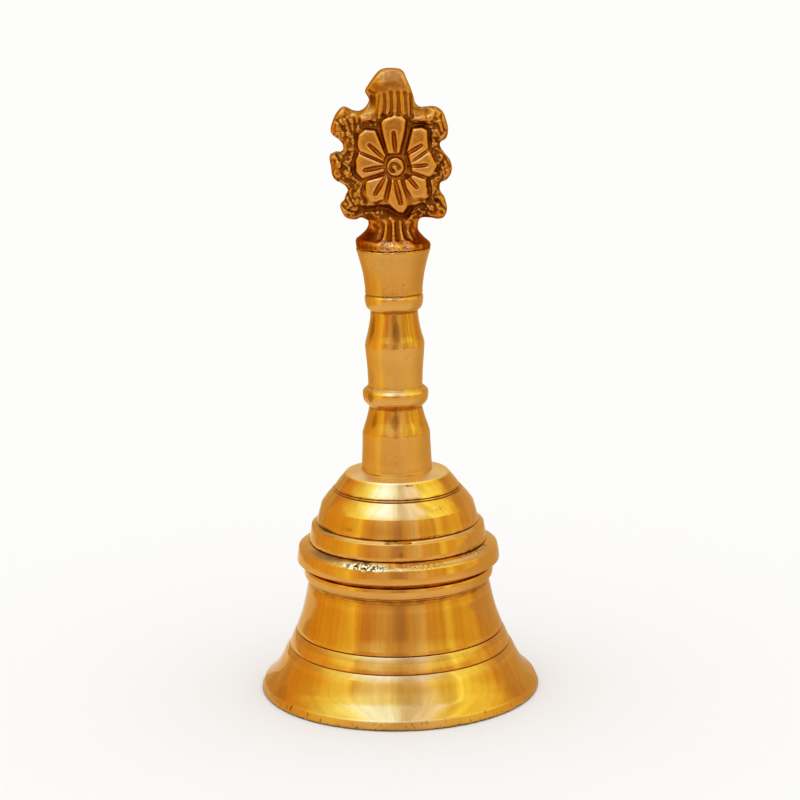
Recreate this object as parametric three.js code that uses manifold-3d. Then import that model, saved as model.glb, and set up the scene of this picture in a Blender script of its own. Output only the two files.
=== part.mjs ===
// Brass hand bell: turned bell, turned handle, cast flower finial and a hanging clapper.
// Millimetres, +Z up, standing on its mouth with the axis of the bell on Z.
import * as THREE from 'three';
import { mergeVertices, mergeGeometries } from 'three/addons/utils/BufferGeometryUtils.js';
import Module from 'manifold-3d';

const wasm = await Module();
wasm.setup();

// ---- driving dimensions -------------------------------------------------
const MOUTH_R = 38.3;            // outside radius of the lip at the mouth
const LIP_IN_R = 34.7;           // inside radius of the lip at the mouth
const CROWN_TOP = 61.2;          // top of the crown, where the handle seats
const CROWN_UNDER = 57.0;        // underside of the crown
const BORE_R = 2.9;              // hole through the crown
const THREAD_R = 2.5;            // M5 shank
const TAP_R = 2.8;               // tapped holes in handle and finial
const GAP = 0.3;                 // clearance between touching pieces
const GRIP_BOTTOM = CROWN_TOP + GAP;
const CUP_TOP = 121.5;           // rim of the handle cup
const FINIAL_BOTTOM = CUP_TOP + GAP;
const FINIAL_TOP = 168.7;
const PLATE_T = 9.6;             // thickness of the finial's leaf plate
const FLOWER_T = 12.0;           // over the petals, both faces
const BOSS_T = 13.0;             // over the flower centres
const EYE_Z = 44.2;              // centre of the eye
const EYE_R = 4.0, EYE_WIRE = 1.2;
const LINK_R = 4.5, LINK_WIRE = 1.1;
const ROD_EYE_R = 3.5, ROD_WIRE = 1.1, ROD_R = 1.5;
const LINK_PIVOT_Z = EYE_Z - EYE_R;                                     // link turns on the eye's wire
const LINK_Z = LINK_PIVOT_Z + EYE_WIRE + GAP + LINK_WIRE - LINK_R;      // centre of the link
const ROD_PIVOT_Z = LINK_Z - LINK_R;                                    // rod turns on the link's wire
const ROD_EYE_Z = ROD_PIVOT_Z + LINK_WIRE + GAP + ROD_WIRE - ROD_EYE_R; // centre of the rod's eye
const BALL_Z = 11.5, BALL_R = 8.5;
const SHELL_SEGS = 40, GRIP_SEGS = 28;

// ---- finishes -----------------------------------------------------------
const brass = (color, roughness) => new THREE.MeshStandardMaterial({ color, roughness, metalness: 1 });
const polished = brass(0xd29a45, 0.28);
const cast = brass(0xa8702c, 0.5);
const steel = brass(0xb9b4a8, 0.4);
const wire = brass(0xb98a45, 0.42);

// ---- helpers ------------------------------------------------------------
function toSolid(geometry) {
  const g = geometry.index ? geometry.clone() : mergeGeometries([geometry]);
  g.deleteAttribute('normal');
  g.deleteAttribute('uv');
  const m = mergeVertices(g, 1e-4);
  return new wasm.Manifold(new wasm.Mesh({
    numProp: 3,
    vertProperties: new Float32Array(m.attributes.position.array),
    triVerts: new Uint32Array(m.index.array),
  }));
}

function fromSolid(solid) {
  const mesh = solid.getMesh();
  const g = new THREE.BufferGeometry();
  g.setAttribute('position', new THREE.BufferAttribute(new Float32Array(mesh.vertProperties), 3));
  g.setIndex(new THREE.BufferAttribute(new Uint32Array(mesh.triVerts), 1));
  g.computeVertexNormals();
  return g;
}

// A closed section of [r, z] points turned about Z.
function turned(section, segs) {
  const pts = section.map(([r, z]) => new THREE.Vector2(r, z));
  const g = new THREE.LatheGeometry(pts, segs);
  g.rotateX(Math.PI / 2);
  return g;
}

function closedSection(points) {
  const area = points.reduce((a, [r, z], i) => {
    const [r2, z2] = points[(i + 1) % points.length];
    return a + r * z2 - r2 * z;
  }, 0);
  const p = area < 0 ? [...points].reverse() : [...points];
  return [...p, p[0]];
}

const torus = (R, r, tube, ring) => new THREE.TorusGeometry(R, r, tube, ring);

const root = new THREE.Group();
function add(name, geometry, material, z = 0) {
  const mesh = new THREE.Mesh(geometry, material);
  mesh.name = name;
  mesh.position.z = z;
  root.add(mesh);
  return mesh;
}

// ---- bell shell ---------------------------------------------------------
// Outside from the crown down to the lip, then the inside back up to the bore.
const shellSection = closedSection([
  [BORE_R, CROWN_TOP], [9.5, CROWN_TOP], [14.0, 60.3],
  [17.0, 56.5], [16.7, 56.15], [17.7, 55.8],
  [20.7, 52.0], [22.06, 46.9], [23.5, 46.0], [24.2, 41.5],
  [27.1, 40.5], [27.7, 36.2], [25.9, 34.2], [24.8, 33.7],
  [25.65, 32.7], [25.7, 31.2], [24.6, 30.7], [25.5, 26.1],
  [26.2, 23.4], [27.9, 17.7], [28.2, 16.8],
  [29.1, 14.8], [30.3, 12.4], [31.2, 10.7], [33.2, 7.05],
  [35.0, 4.4], [37.65, 2.55], [MOUTH_R, 0],
  [LIP_IN_R, 0], [32.1, 4.4], [28.2, 10.7], [25.2, 16.8], [23.0, 24.5],
  [21.9, 33.0], [20.9, 41.0], [17.8, 50.0], [13.8, 55.4], [10.5, CROWN_UNDER], [BORE_R, CROWN_UNDER],
]);
add('bell_shell', turned(shellSection, SHELL_SEGS), polished);

// ---- handle -------------------------------------------------------------
// Solid turned handle with a tapped hole in its foot and another in its cup.
const gripSection = [
  [0, GRIP_BOTTOM], [9.5, GRIP_BOTTOM], [9.45, 64.0], [9.2, 67.5], [9.15, 71.0],
  [8.64, 73.2], [7.9, 75.4], [7.15, 78.6], [8.64, 80.2], [8.8, 83.2], [7.34, 84.3],
  [7.4, 87.5], [7.7, 91.5], [7.97, 95.1], [7.67, 97.3], [6.84, 100.5], [6.4, 104.1],
  [7.43, 106.0], [7.84, 108.4], [7.45, 109.3], [7.65, 110.4], [8.25, 114.8], [8.9, 117.6], [9.96, CUP_TOP],
  [0, CUP_TOP],
];
const tap = (z0, z1) => new THREE.CylinderGeometry(TAP_R, TAP_R, z1 - z0, 16)
  .rotateX(Math.PI / 2).translate(0, 0, (z0 + z1) / 2);
const grip = toSolid(turned(gripSection, GRIP_SEGS))
  .subtract(toSolid(tap(GRIP_BOTTOM - 1, GRIP_BOTTOM + 15)))
  .subtract(toSolid(tap(CUP_TOP - 12, CUP_TOP + 1)));
add('handle_grip', fromSolid(grip), polished);

// ---- flower finial ------------------------------------------------------
// Outline of the leaf plate, seen from the front: [x, z], starting at its top and going down the right side.
const PLATE_OUTLINE = [
  [-1.5, 168.6], [1.1, FINIAL_TOP], [2.7, 168.3], [3.5, 167.7], [4.3, 165.6], [5.3, 163.3], [6.0, 161.2], [6.4, 159.6],
  [7.4, 158.6], [9.3, 158.5], [11.1, 158.6], [12.4, 158.2], [13.7, 157.0], [14.5, 154.9], [14.9, 152.9], [14.7, 151.3],
  [14.0, 150.2], [13.0, 149.7], [12.7, 148.7], [13.3, 147.1], [14.6, 145.5], [15.5, 144.2], [15.8, 142.6], [15.4, 141.0],
  [14.3, 139.6], [12.8, 138.9], [12.5, 137.3], [13.0, 135.7], [13.8, 134.7], [14.2, 133.3], [14.4, 132.3], [14.1, 130.7],
  [13.3, 129.6], [12.0, 129.3], [10.4, 129.6], [7.5, 129.6], [6.8, 128.8], [6.6, 127.0], [5.5, 124.5],
  [-5.5, 124.5], [-6.1, 127.2], [-6.2, 128.8], [-7.1, 129.4], [-8.4, 130.0], [-9.5, 129.6], [-10.8, 129.5],
  [-12.4, 130.1], [-13.4, 131.7], [-13.8, 133.3], [-12.9, 134.1], [-12.4, 135.5], [-11.7, 137.1], [-12.1, 138.1],
  [-13.4, 139.2], [-15.0, 140.0], [-15.8, 141.6], [-16.0, 143.4], [-16.3, 146.3], [-15.5, 146.7], [-14.7, 147.1],
  [-13.6, 147.0], [-12.8, 147.6], [-12.8, 149.2], [-13.6, 150.5], [-15.4, 151.8], [-15.9, 152.9], [-15.4, 155.2],
  [-14.1, 157.6], [-12.5, 158.9], [-11.5, 158.6], [-9.9, 157.8], [-8.1, 157.7], [-6.5, 158.9], [-5.7, 160.9],
  [-6.7, 162.9], [-6.5, 163.5], [-5.2, 165.4], [-3.8, 167.2], [-2.8, 168.2],
];
const PETALS = [
  [[-1.05, 146.9], [-2.6, 154.9], [-1.7, 156.0], [0.5, 156.9], [2.5, 156.8], [3.8, 155.6], [3.5, 152.6], [2.15, 146.9]],
  [[4.0, 147.4], [5.6, 153.3], [8.0, 153.6], [9.4, 152.8], [9.4, 148.0], [4.9, 144.7]],
  [[4.9, 144.2], [9.9, 147.4], [11.8, 143.1], [9.8, 140.6], [5.3, 142.2]],
  [[5.6, 141.2], [8.8, 140.0], [9.1, 135.2], [5.6, 134.9], [3.8, 137.9], [3.3, 139.9]],
  [[0.1, 140.1], [-1.1, 134.5], [-0.4, 132.7], [1.5, 131.0], [2.8, 131.0], [3.9, 132.8], [3.5, 135.4], [2.1, 140.1]],
  [[-1.6, 141.1], [-6.5, 139.9], [-7.0, 138.9], [-6.7, 136.1], [-5.5, 134.3], [-4.1, 134.1], [-2.4, 134.9], [-1.05, 140.1]],
  [[-1.8, 144.1], [-8.5, 147.1], [-9.3, 145.3], [-9.3, 142.4], [-7.6, 140.5], [-1.8, 142.4]],
  [[-1.5, 146.5], [-4.2, 153.0], [-6.8, 153.3], [-8.5, 151.9], [-8.9, 149.2], [-8.3, 147.7], [-1.9, 145.0]],
];
// Slot down the middle of each petal: inner end, outer end, half width.
const SLOTS = [
  [[1.0, 147.4], [0.6, 152.4], 0.52], [[3.8, 146.7], [7.8, 149.0], 0.49], [[4.7, 143.5], [9.2, 143.8], 0.42],
  [[3.8, 141.1], [6.5, 137.9], 0.49], [[0.8, 139.9], [2.2, 133.8], 0.7], [[-1.8, 140.8], [-4.5, 136.4], 0.56],
  [[-1.8, 143.6], [-7.1, 142.7], 0.56], [[-1.7, 145.4], [-5.8, 149.3], 0.49],
];
const BOSS = [0.97, 143.5];

// A closed outline in the XZ plane given a thickness in Y, centred on Y = 0.
function slab(outline, thickness, bevel = 0) {
  const shape = new THREE.Shape(outline.map(([x, z]) => new THREE.Vector2(x, z)));
  const depth = thickness - 2 * bevel;
  const g = new THREE.ExtrudeGeometry(shape, {
    depth, steps: 1, bevelEnabled: bevel > 0, bevelThickness: bevel, bevelSize: bevel, bevelOffset: -bevel, bevelSegments: 1,
  });
  return g.translate(0, 0, -depth / 2).rotateX(Math.PI / 2);
}

let finial = toSolid(slab(PLATE_OUTLINE, PLATE_T, 0.4));
for (const petal of PETALS) finial = finial.add(toSolid(slab(petal, FLOWER_T)));
for (const [[x0, z0], [x1, z1], w] of SLOTS) {
  const length = Math.hypot(x1 - x0, z1 - z0);
  const nx = -(z1 - z0) / length * w, nz = (x1 - x0) / length * w;
  for (const side of [-1, 1]) {
    const cut = slab([[x0 + nx, z0 + nz], [x0 - nx, z0 - nz], [x1 - nx, z1 - nz], [x1 + nx, z1 + nz]], 2)
      .translate(0, side * FLOWER_T / 2, 0);
    finial = finial.subtract(toSolid(cut));
  }
}
finial = finial.add(toSolid(new THREE.CylinderGeometry(2.7, 2.7, BOSS_T, 12).translate(BOSS[0], 0, BOSS[1])));
// Round foot that sits on the cup, with the tapped hole for the stud.
finial = finial.add(toSolid(turned([
  [0, FINIAL_BOTTOM], [9.4, FINIAL_BOTTOM], [9.8, 123.4], [8.0, 125.4], [6.4, 127.4], [5.6, 131.0], [4.2, 135.0], [0, 135.0],
], 24)));
finial = finial.subtract(toSolid(tap(FINIAL_BOTTOM - 1, FINIAL_BOTTOM + 9)));
add('flower_finial', fromSolid(finial), cast);

add('finial_stud', new THREE.CylinderGeometry(THREAD_R, THREAD_R, 19, 16).rotateX(Math.PI / 2), steel, 120.5);

// ---- what hangs inside --------------------------------------------------
// Eye bolt: shank up through the crown into the handle, eye across the bell.
const SHANK_TOP = GRIP_BOTTOM + 13.5, SHANK_FOOT = EYE_Z + EYE_R - 0.4;
const eyeBolt = toSolid(torus(EYE_R, EYE_WIRE, 8, 20).rotateX(Math.PI / 2))
  .add(toSolid(new THREE.CylinderGeometry(THREAD_R, THREAD_R, SHANK_TOP - SHANK_FOOT, 16)
    .rotateX(Math.PI / 2).translate(0, 0, (SHANK_TOP + SHANK_FOOT) / 2 - EYE_Z)));
add('eye_bolt', fromSolid(eyeBolt), steel, EYE_Z);

const WASHER_T = 1.1, NUT_H = 4.0, NUT_AF = 8.0;
const washerZ = CROWN_UNDER - GAP - WASHER_T;
add('crown_washer', turned(closedSection([[BORE_R, 0], [6, 0], [6, WASHER_T], [BORE_R, WASHER_T]]), 24), steel, washerZ);

const nutOutline = new THREE.Shape();
for (let i = 0; i < 6; i++) {
  const a = Math.PI / 3 * i, r = NUT_AF / 2 / Math.cos(Math.PI / 6);
  if (i) nutOutline.lineTo(r * Math.cos(a), r * Math.sin(a)); else nutOutline.moveTo(r, 0);
}
nutOutline.holes.push(new THREE.Path().absarc(0, 0, BORE_R, 0, 2 * Math.PI, true));
add('crown_nut', new THREE.ExtrudeGeometry(nutOutline, { depth: NUT_H, bevelEnabled: false, curveSegments: 8 }),
  steel, washerZ - GAP - NUT_H);

// Link: round wire ring at right angles to the eye.
add('clapper_link', torus(LINK_R, LINK_WIRE, 8, 20).rotateX(Math.PI / 2).rotateZ(Math.PI / 2), wire, LINK_Z);

// Rod: eye around the link, straight wire, riveted head under the ball.
const HEAD_Z = BALL_Z - BALL_R + 0.6;      // flat under the ball
const rod = toSolid(torus(ROD_EYE_R, ROD_WIRE, 8, 20).rotateX(Math.PI / 2).translate(0, 0, ROD_EYE_Z))
  .add(toSolid(turned([[0, HEAD_Z - GAP - 1.1], [1.9, HEAD_Z - GAP - 1.1], [2.6, HEAD_Z - GAP - 0.5], [2.6, HEAD_Z - GAP],
    [ROD_R, HEAD_Z - GAP], [ROD_R, ROD_EYE_Z - ROD_EYE_R - 0.6], [1.0, ROD_EYE_Z - ROD_EYE_R + 0.5],
    [0, ROD_EYE_Z - ROD_EYE_R + 0.5]], 12)));
add('clapper_rod', fromSolid(rod), wire);

// Ball: bored, with a flat below for the head and a short neck above.
const BALL_BORE = ROD_R + GAP;
const ballSection = [[BALL_BORE, HEAD_Z]];
const ballStart = Math.acos((BALL_Z - HEAD_Z) / BALL_R);
for (let i = 0; i <= 10; i++) {
  const a = ballStart + (Math.PI - ballStart - 0.36) * i / 10;
  ballSection.push([BALL_R * Math.sin(a), BALL_Z - BALL_R * Math.cos(a)]);
}
ballSection.push([2.6, BALL_Z + BALL_R + 1.2], [BALL_BORE, BALL_Z + BALL_R + 1.2]);
add('clapper_ball', turned(closedSection(ballSection), 20), polished);

export default root;
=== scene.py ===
import math

import bpy
import numpy as np
from mathutils import Matrix, Vector


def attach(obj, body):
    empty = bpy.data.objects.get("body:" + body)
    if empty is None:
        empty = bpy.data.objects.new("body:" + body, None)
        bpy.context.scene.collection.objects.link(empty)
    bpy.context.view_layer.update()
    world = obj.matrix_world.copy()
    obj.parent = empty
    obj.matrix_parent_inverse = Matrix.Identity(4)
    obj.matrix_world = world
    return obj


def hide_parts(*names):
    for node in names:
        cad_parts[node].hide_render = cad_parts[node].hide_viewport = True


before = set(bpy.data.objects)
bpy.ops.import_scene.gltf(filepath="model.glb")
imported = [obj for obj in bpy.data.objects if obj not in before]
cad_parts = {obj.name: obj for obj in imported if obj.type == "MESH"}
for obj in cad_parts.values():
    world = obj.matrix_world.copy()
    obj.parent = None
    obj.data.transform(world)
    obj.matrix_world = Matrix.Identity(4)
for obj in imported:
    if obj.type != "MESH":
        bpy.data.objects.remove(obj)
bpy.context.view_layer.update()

MM = 0.001
U = 0.27                       # millimetres per profile unit


# ------------------------------------------------------------------ camera
cam_data = bpy.data.cameras.new("camera")
cam_data.sensor_width = 36.0
cam_data.lens = 96.69
cam_data.clip_start, cam_data.clip_end = 0.01, 60.0
cam = bpy.data.objects.new("camera", cam_data)
bpy.context.scene.collection.objects.link(cam)
cam.location = (0.00116, -0.567, 0.2028)
cam.rotation_mode = "QUATERNION"
cam.rotation_quaternion = (
    Matrix.Rotation(math.radians(90.0 - 12.22), 4, "X") @ Matrix.Rotation(math.radians(-0.919), 4, "Z")
).to_quaternion()
bpy.context.scene.camera = cam


# ------------------------------------------------------------------ numeric helpers
def smoothstep(x, a, b):
    t = np.clip((x - a) / (b - a), 0.0, 1.0)
    return t * t * (3.0 - 2.0 * t)


def lattice_noise(points, cell, seed):
    """Smooth value noise in -1..1 at points (N, 3), one cell every `cell` units."""
    rng = np.random.RandomState(seed)
    table = rng.uniform(-1.0, 1.0, 4096)
    p = np.asarray(points, float) / cell + 512.0
    i = np.floor(p).astype(np.int64)
    f = p - i
    f = f * f * (3.0 - 2.0 * f)
    out = np.zeros(len(p))
    for dx in (0, 1):
        wx = f[:, 0] if dx else 1.0 - f[:, 0]
        for dy in (0, 1):
            wy = f[:, 1] if dy else 1.0 - f[:, 1]
            for dz in (0, 1):
                wz = f[:, 2] if dz else 1.0 - f[:, 2]
                h = ((i[:, 0] + dx) * 73856093) ^ ((i[:, 1] + dy) * 19349663) ^ ((i[:, 2] + dz) * 83492791)
                out += wx * wy * wz * table[h & 4095]
    return out


def fractal(points, cell, seed, octaves=3):
    total, amp, out = 0.0, 1.0, 0.0
    for k in range(octaves):
        out = out + amp * lattice_noise(points, cell / 2 ** k, seed + 17 * k)
        total += amp
        amp *= 0.5
    return out / total


# ------------------------------------------------------------------ profiles
def spline(points, per=14):
    """Catmull-Rom through a run of points."""
    p = np.asarray(points, float)
    if len(p) < 3:
        return p
    q = np.vstack([2 * p[0] - p[1], p, 2 * p[-1] - p[-2]])
    out = []
    for i in range(1, len(q) - 2):
        a, b, c, d = q[i - 1], q[i], q[i + 1], q[i + 2]
        ta = 0.0
        tb = ta + math.sqrt(np.linalg.norm(b - a)) + 1e-9
        tc = tb + math.sqrt(np.linalg.norm(c - b)) + 1e-9
        td = tc + math.sqrt(np.linalg.norm(d - c)) + 1e-9
        for t in np.linspace(tb, tc, per, endpoint=False):
            a1 = (tb - t) / (tb - ta) * a + (t - ta) / (tb - ta) * b
            a2 = (tc - t) / (tc - tb) * b + (t - tb) / (tc - tb) * c
            a3 = (td - t) / (td - tc) * c + (t - tc) / (td - tc) * d
            b1 = (tc - t) / (tc - ta) * a1 + (t - ta) / (tc - ta) * a2
            b2 = (td - t) / (td - tb) * a2 + (t - tb) / (td - tb) * a3
            out.append((tc - t) / (tc - tb) * b1 + (t - tb) / (tc - tb) * b2)
    out.append(p[-1])
    return np.array(out)


def section(items, closed, sigma=0.06, step=0.03, tol=0.0035, longest=1.6):
    """items: (r, z) or (r, z, 'c') in mm. 'c' marks a corner; other points lie on smooth runs.
    The line is resampled, its corners are rounded, and it is thinned to what its curvature needs."""
    runs, run = [], []
    pts = list(items) + ([items[0]] if closed else [])
    for k, it in enumerate(pts):
        run.append(it[:2])
        if (len(it) > 2 and k > 0) or k == len(pts) - 1:
            runs.append(run)
            run = [it[:2]]
    line = np.vstack([spline(r)[:-1] if i < len(runs) - 1 else spline(r) for i, r in enumerate(runs) if len(r) > 1])
    seg = np.linalg.norm(np.diff(line, axis=0), axis=1)
    s = np.concatenate([[0], np.cumsum(seg)])
    n = max(8, int(s[-1] / step))
    t = np.linspace(0, s[-1], n, endpoint=not closed)
    d = np.stack([np.interp(t, s, line[:, 0]), np.interp(t, s, line[:, 1])], axis=1)
    k = max(1, int(3 * sigma / step))
    w = np.exp(-0.5 * (np.arange(-k, k + 1) * step / sigma) ** 2)
    w /= w.sum()
    if closed:
        e = np.vstack([d[-k:], d, d[:k]])
    else:
        e = np.vstack([2 * d[0] - d[k:0:-1], d, 2 * d[-1] - d[-2:-k - 2:-1]])
    sm = np.stack([np.convolve(e[:, c], w, mode="valid") for c in (0, 1)], axis=1)
    if not closed:
        sm[0], sm[-1] = d[0], d[-1]
    m = len(sm)
    keep = np.zeros(m, bool)
    keep[0] = keep[-1] = True
    start = [(0, m // 2), (m // 2, m - 1)]
    keep[m // 2] = True
    while start:
        a, b = start.pop()
        if b - a < 2:
            continue
        pa, pb = sm[a], sm[b]
        v = pb - pa
        length = np.linalg.norm(v) + 1e-12
        off = np.abs(v[0] * (sm[a + 1:b, 1] - pa[1]) - v[1] * (sm[a + 1:b, 0] - pa[0])) / length
        j = int(np.argmax(off))
        if off[j] > tol or length > longest:
            j = a + 1 + (j if off[j] > tol else (b - a) // 2 - 1)
            j = min(max(j, a + 1), b - 1)
            keep[j] = True
            start += [(a, j), (j, b)]
    return sm[keep]


# ------------------------------------------------------------------ meshes
def mesh_object(name, verts, faces, smooth=True):
    """verts in mm, faces a list of index tuples or an (N, 4) array."""
    me = bpy.data.meshes.new(name)
    faces = faces.tolist() if hasattr(faces, "tolist") else faces
    me.from_pydata((np.asarray(verts) * MM).tolist(), [], faces)
    me.validate()
    me.calc_loop_triangles()
    tri = np.empty(len(me.loop_triangles) * 3, np.int32)
    me.loop_triangles.foreach_get("vertices", tri)
    tri = tri.reshape(-1, 3)
    co = np.empty(len(me.vertices) * 3, np.float64)
    me.vertices.foreach_get("co", co)
    co = co.reshape(-1, 3)
    vol = np.einsum("ij,ij->i", co[tri[:, 0]], np.cross(co[tri[:, 1]], co[tri[:, 2]])).sum()
    if vol < 0:
        me.flip_normals()
    me.polygons.foreach_set("use_smooth", [smooth] * len(me.polygons))
    me.update()
    ob = bpy.data.objects.new(name, me)
    bpy.context.scene.collection.objects.link(ob)
    return ob


def revolve(name, pts, segs, closed, move=None):
    """Turns a section of (r, z) points about Z. move(r, z, angle, i) returns new r, z for the whole ring."""
    pts = np.asarray(pts, float)
    ang = np.arange(segs) / segs * 2 * math.pi
    verts, rings = [], []
    for i, (r, z) in enumerate(pts):
        if r < 1e-6:
            rings.append([len(verts)])
            verts.append((0.0, 0.0, z))
            continue
        rr, zz = np.full(segs, r), np.full(segs, z)
        if move is not None:
            rr, zz = move(rr, zz, ang, i)
        rings.append(list(range(len(verts), len(verts) + segs)))
        verts += list(zip(rr * np.cos(ang), rr * np.sin(ang), zz))
    faces = []
    pairs = list(zip(range(len(rings) - 1), range(1, len(rings)))) + ([(len(rings) - 1, 0)] if closed else [])
    for a, b in pairs:
        ra, rb = rings[a], rings[b]
        if len(ra) == 1 and len(rb) == 1:
            continue
        for j in range(segs):
            k = (j + 1) % segs
            if len(ra) == 1:
                faces.append((ra[0], rb[j], rb[k]))
            elif len(rb) == 1:
                faces.append((ra[j], rb[0], ra[k]))
            else:
                faces.append((ra[j], rb[j], rb[k], ra[k]))
    return mesh_object(name, verts, faces)


def surface_nets(f, origin, h):
    """Closed quad mesh of f = 0 on a grid (negative inside)."""
    neg = f < 0
    nx, ny, nz = f.shape
    cx, cy, cz = nx - 1, ny - 1, nz - 1
    corner = [(dx, dy, dz) for dx in (0, 1) for dy in (0, 1) for dz in (0, 1)]
    count = np.zeros((cx, cy, cz), np.int8)
    for dx, dy, dz in corner:
        count += neg[dx:dx + cx, dy:dy + cy, dz:dz + cz]
    active = (count > 0) & (count < 8)
    idx = -np.ones((cx, cy, cz), np.int64)
    cells = np.argwhere(active)
    idx[active] = np.arange(len(cells))
    i, j, k = cells.T
    total, hits = np.zeros((len(cells), 3)), np.zeros(len(cells))
    edges = []
    for a in range(8):
        for b in range(a + 1, 8):
            if sum(abs(corner[a][m] - corner[b][m]) for m in range(3)) == 1:
                edges.append((corner[a], corner[b]))
    for a, b in edges:
        fa = f[i + a[0], j + a[1], k + a[2]]
        fb = f[i + b[0], j + b[1], k + b[2]]
        cross = (fa < 0) != (fb < 0)
        t = np.where(cross, fa / np.where(fa == fb, 1.0, fa - fb), 0.0)
        for m in range(3):
            total[:, m] += np.where(cross, a[m] + t * (b[m] - a[m]), 0.0)
        hits += cross
    verts = (cells + total / hits[:, None]) * h + np.asarray(origin)
    quads = []
    for axis in range(3):
        u, v = [m for m in range(3) if m != axis]
        lo = [slice(None)] * 3
        hi = [slice(None)] * 3
        lo[axis], hi[axis] = slice(0, -1), slice(1, None)
        change = neg[tuple(lo)] != neg[tuple(hi)]
        sel = np.argwhere(change)
        sel = sel[(sel[:, u] > 0) & (sel[:, v] > 0) & (sel[:, u] < f.shape[u] - 1) & (sel[:, v] < f.shape[v] - 1)]
        q = []
        for du, dv in ((0, 0), (1, 0), (1, 1), (0, 1)):
            c = sel.copy()
            c[:, u] -= du
            c[:, v] -= dv
            q.append(idx[c[:, 0], c[:, 1], c[:, 2]])
        q = np.stack(q, axis=1)
        inside_first = neg[sel[:, 0], sel[:, 1], sel[:, 2]]
        flip = inside_first ^ (axis == 1)
        q[flip] = q[flip][:, ::-1]
        quads.append(q)
    return verts, np.vstack(quads)


def sweep(points, radii, sides=20, name="wire"):
    """Round wire along an open line of points (mm), with rounded ends."""
    p = np.asarray(points, float)
    r = np.asarray(radii, float)
    tan = np.gradient(p, axis=0)
    tan /= np.linalg.norm(tan, axis=1)[:, None]
    ref = np.array([0.0, 1.0, 0.0])
    verts, rings = [], []
    ang = np.arange(sides) / sides * 2 * math.pi
    cap = [(math.sin(c), math.cos(c)) for c in (0.25, 0.6, 0.95, 1.25)]
    stations = [(p[0] - tan[0] * r[0] * 0.6 * s, tan[0], r[0] * c) for s, c in reversed(cap)]
    stations += list(zip(p, tan, r))
    stations += [(p[-1] + tan[-1] * r[-1] * 0.6 * s, tan[-1], r[-1] * c) for s, c in cap]
    for q, t, rr in stations:
        n = ref - t * ref.dot(t)
        n /= np.linalg.norm(n)
        b = np.cross(t, n)
        rings.append(list(range(len(verts), len(verts) + sides)))
        for a in ang:
            verts.append(q + rr * (math.cos(a) * n + math.sin(a) * b))
    faces = []
    for x, y in zip(rings, rings[1:]):
        for j in range(sides):
            k = (j + 1) % sides
            faces.append((x[j], y[j], y[k], x[k]))
    for ring, c in ((rings[0], stations[0][0]), (rings[-1], stations[-1][0])):
        verts.append(c)
        v = len(verts) - 1
        for j in range(sides):
            k = (j + 1) % sides
            faces.append((ring[j], ring[k], v) if ring is rings[0] else (ring[k], ring[j], v))
    return mesh_object(name, verts, faces)


def add_float(ob, name, values):
    at = ob.data.attributes.new(name, "FLOAT", "POINT")
    at.data.foreach_set("value", np.asarray(values, np.float32))


def coords(ob):
    co = np.empty(len(ob.data.vertices) * 3, np.float64)
    ob.data.vertices.foreach_get("co", co)
    return co.reshape(-1, 3) / MM


def cavity(ob, rounds, scale):
    """Signed hollowness in about -1..1: positive in grooves, negative on ridges."""
    me = ob.data
    n = len(me.vertices)
    ed = np.empty(len(me.edges) * 2, np.int32)
    me.edges.foreach_get("vertices", ed)
    ed = ed.reshape(-1, 2)
    a = np.concatenate([ed[:, 0], ed[:, 1]])
    b = np.concatenate([ed[:, 1], ed[:, 0]])
    deg = np.maximum(np.bincount(a, minlength=n), 1)
    co = coords(ob)
    cur = co.copy()
    for _ in range(rounds):
        cur = np.stack([np.bincount(a, weights=cur[b, c], minlength=n) / deg for c in range(3)], axis=1)
    no = np.empty(n * 3, np.float32)
    me.vertices.foreach_get("normal", no)
    no = no.reshape(-1, 3)
    return np.clip(((cur - co) * no).sum(axis=1) / scale, -1.0, 1.0)


# ------------------------------------------------------------------ bell shell
def u(r, z, *tag):
    return (r * U, z * U, *tag)


shell_outer = [
    (2.9, 61.2, "c"), u(35.6, 226.67, "c"), u(51.6, 223.6, "c"),
    u(57.6, 216.6), u(63.0, 209.3, "c"), u(61.9, 208.7, "c"), u(63.6, 208.3, "c"), u(64.1, 207.2, "c"),
    u(63.0, 206.8, "c"), u(65.4, 206.5, "c"), u(71.2, 199.9), u(76.6, 192.6, "c"),
    u(78.5, 186.2), u(80.2, 179.9), u(81.7, 174.2, "c"), u(80.6, 173.4, "c"), u(82.2, 173.2, "c"),
    u(87.0, 170.6, "c"), u(88.4, 162.2), u(89.6, 154.4, "c"), u(88.0, 153.6, "c"), u(90.4, 153.3, "c"),
    u(95.6, 151.3), u(100.4, 148.4, "c"), u(101.8, 141.4), u(102.5, 134.4, "c"), u(100.4, 132.6, "c"),
    u(95.0, 130.8), u(90.7, 129.4, "c"), u(90.7, 128.2, "c"), u(95.1, 127.7, "c"), u(95.7, 124.4), u(95.7, 120.8), u(94.9, 117.6, "c"),
    u(93.7, 116.7, "c"), u(93.5, 115.2, "c"), u(91.1, 113.9, "c"), u(91.3, 111.6, "c"), u(93.2, 104.0), u(94.7, 96.4), u(97.0, 86.6),
    u(99.7, 76.8), u(104.3, 64.4), u(104.85, 63.0, "c"), u(103.2, 62.6, "c"), u(103.6, 61.9, "c"), u(105.2, 61.7, "c"),
    u(108.2, 55.9, "c"), u(110.1, 51.3), u(112.0, 46.8, "c"), u(110.8, 46.3, "c"), u(111.0, 45.7, "c"), u(112.4, 45.5, "c"),
    u(116.0, 40.4, "c"), u(119.1, 33.8), u(121.9, 28.2), u(124.6, 23.4), u(127.4, 19.1), u(130.8, 15.2), u(134.3, 11.8), u(137.6, 8.8, "c"),
    u(138.6, 8.0), u(140.1, 4.6), u(141.7, 0.5, "c"), u(140.9, 0.0, "c"),
]
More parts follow.
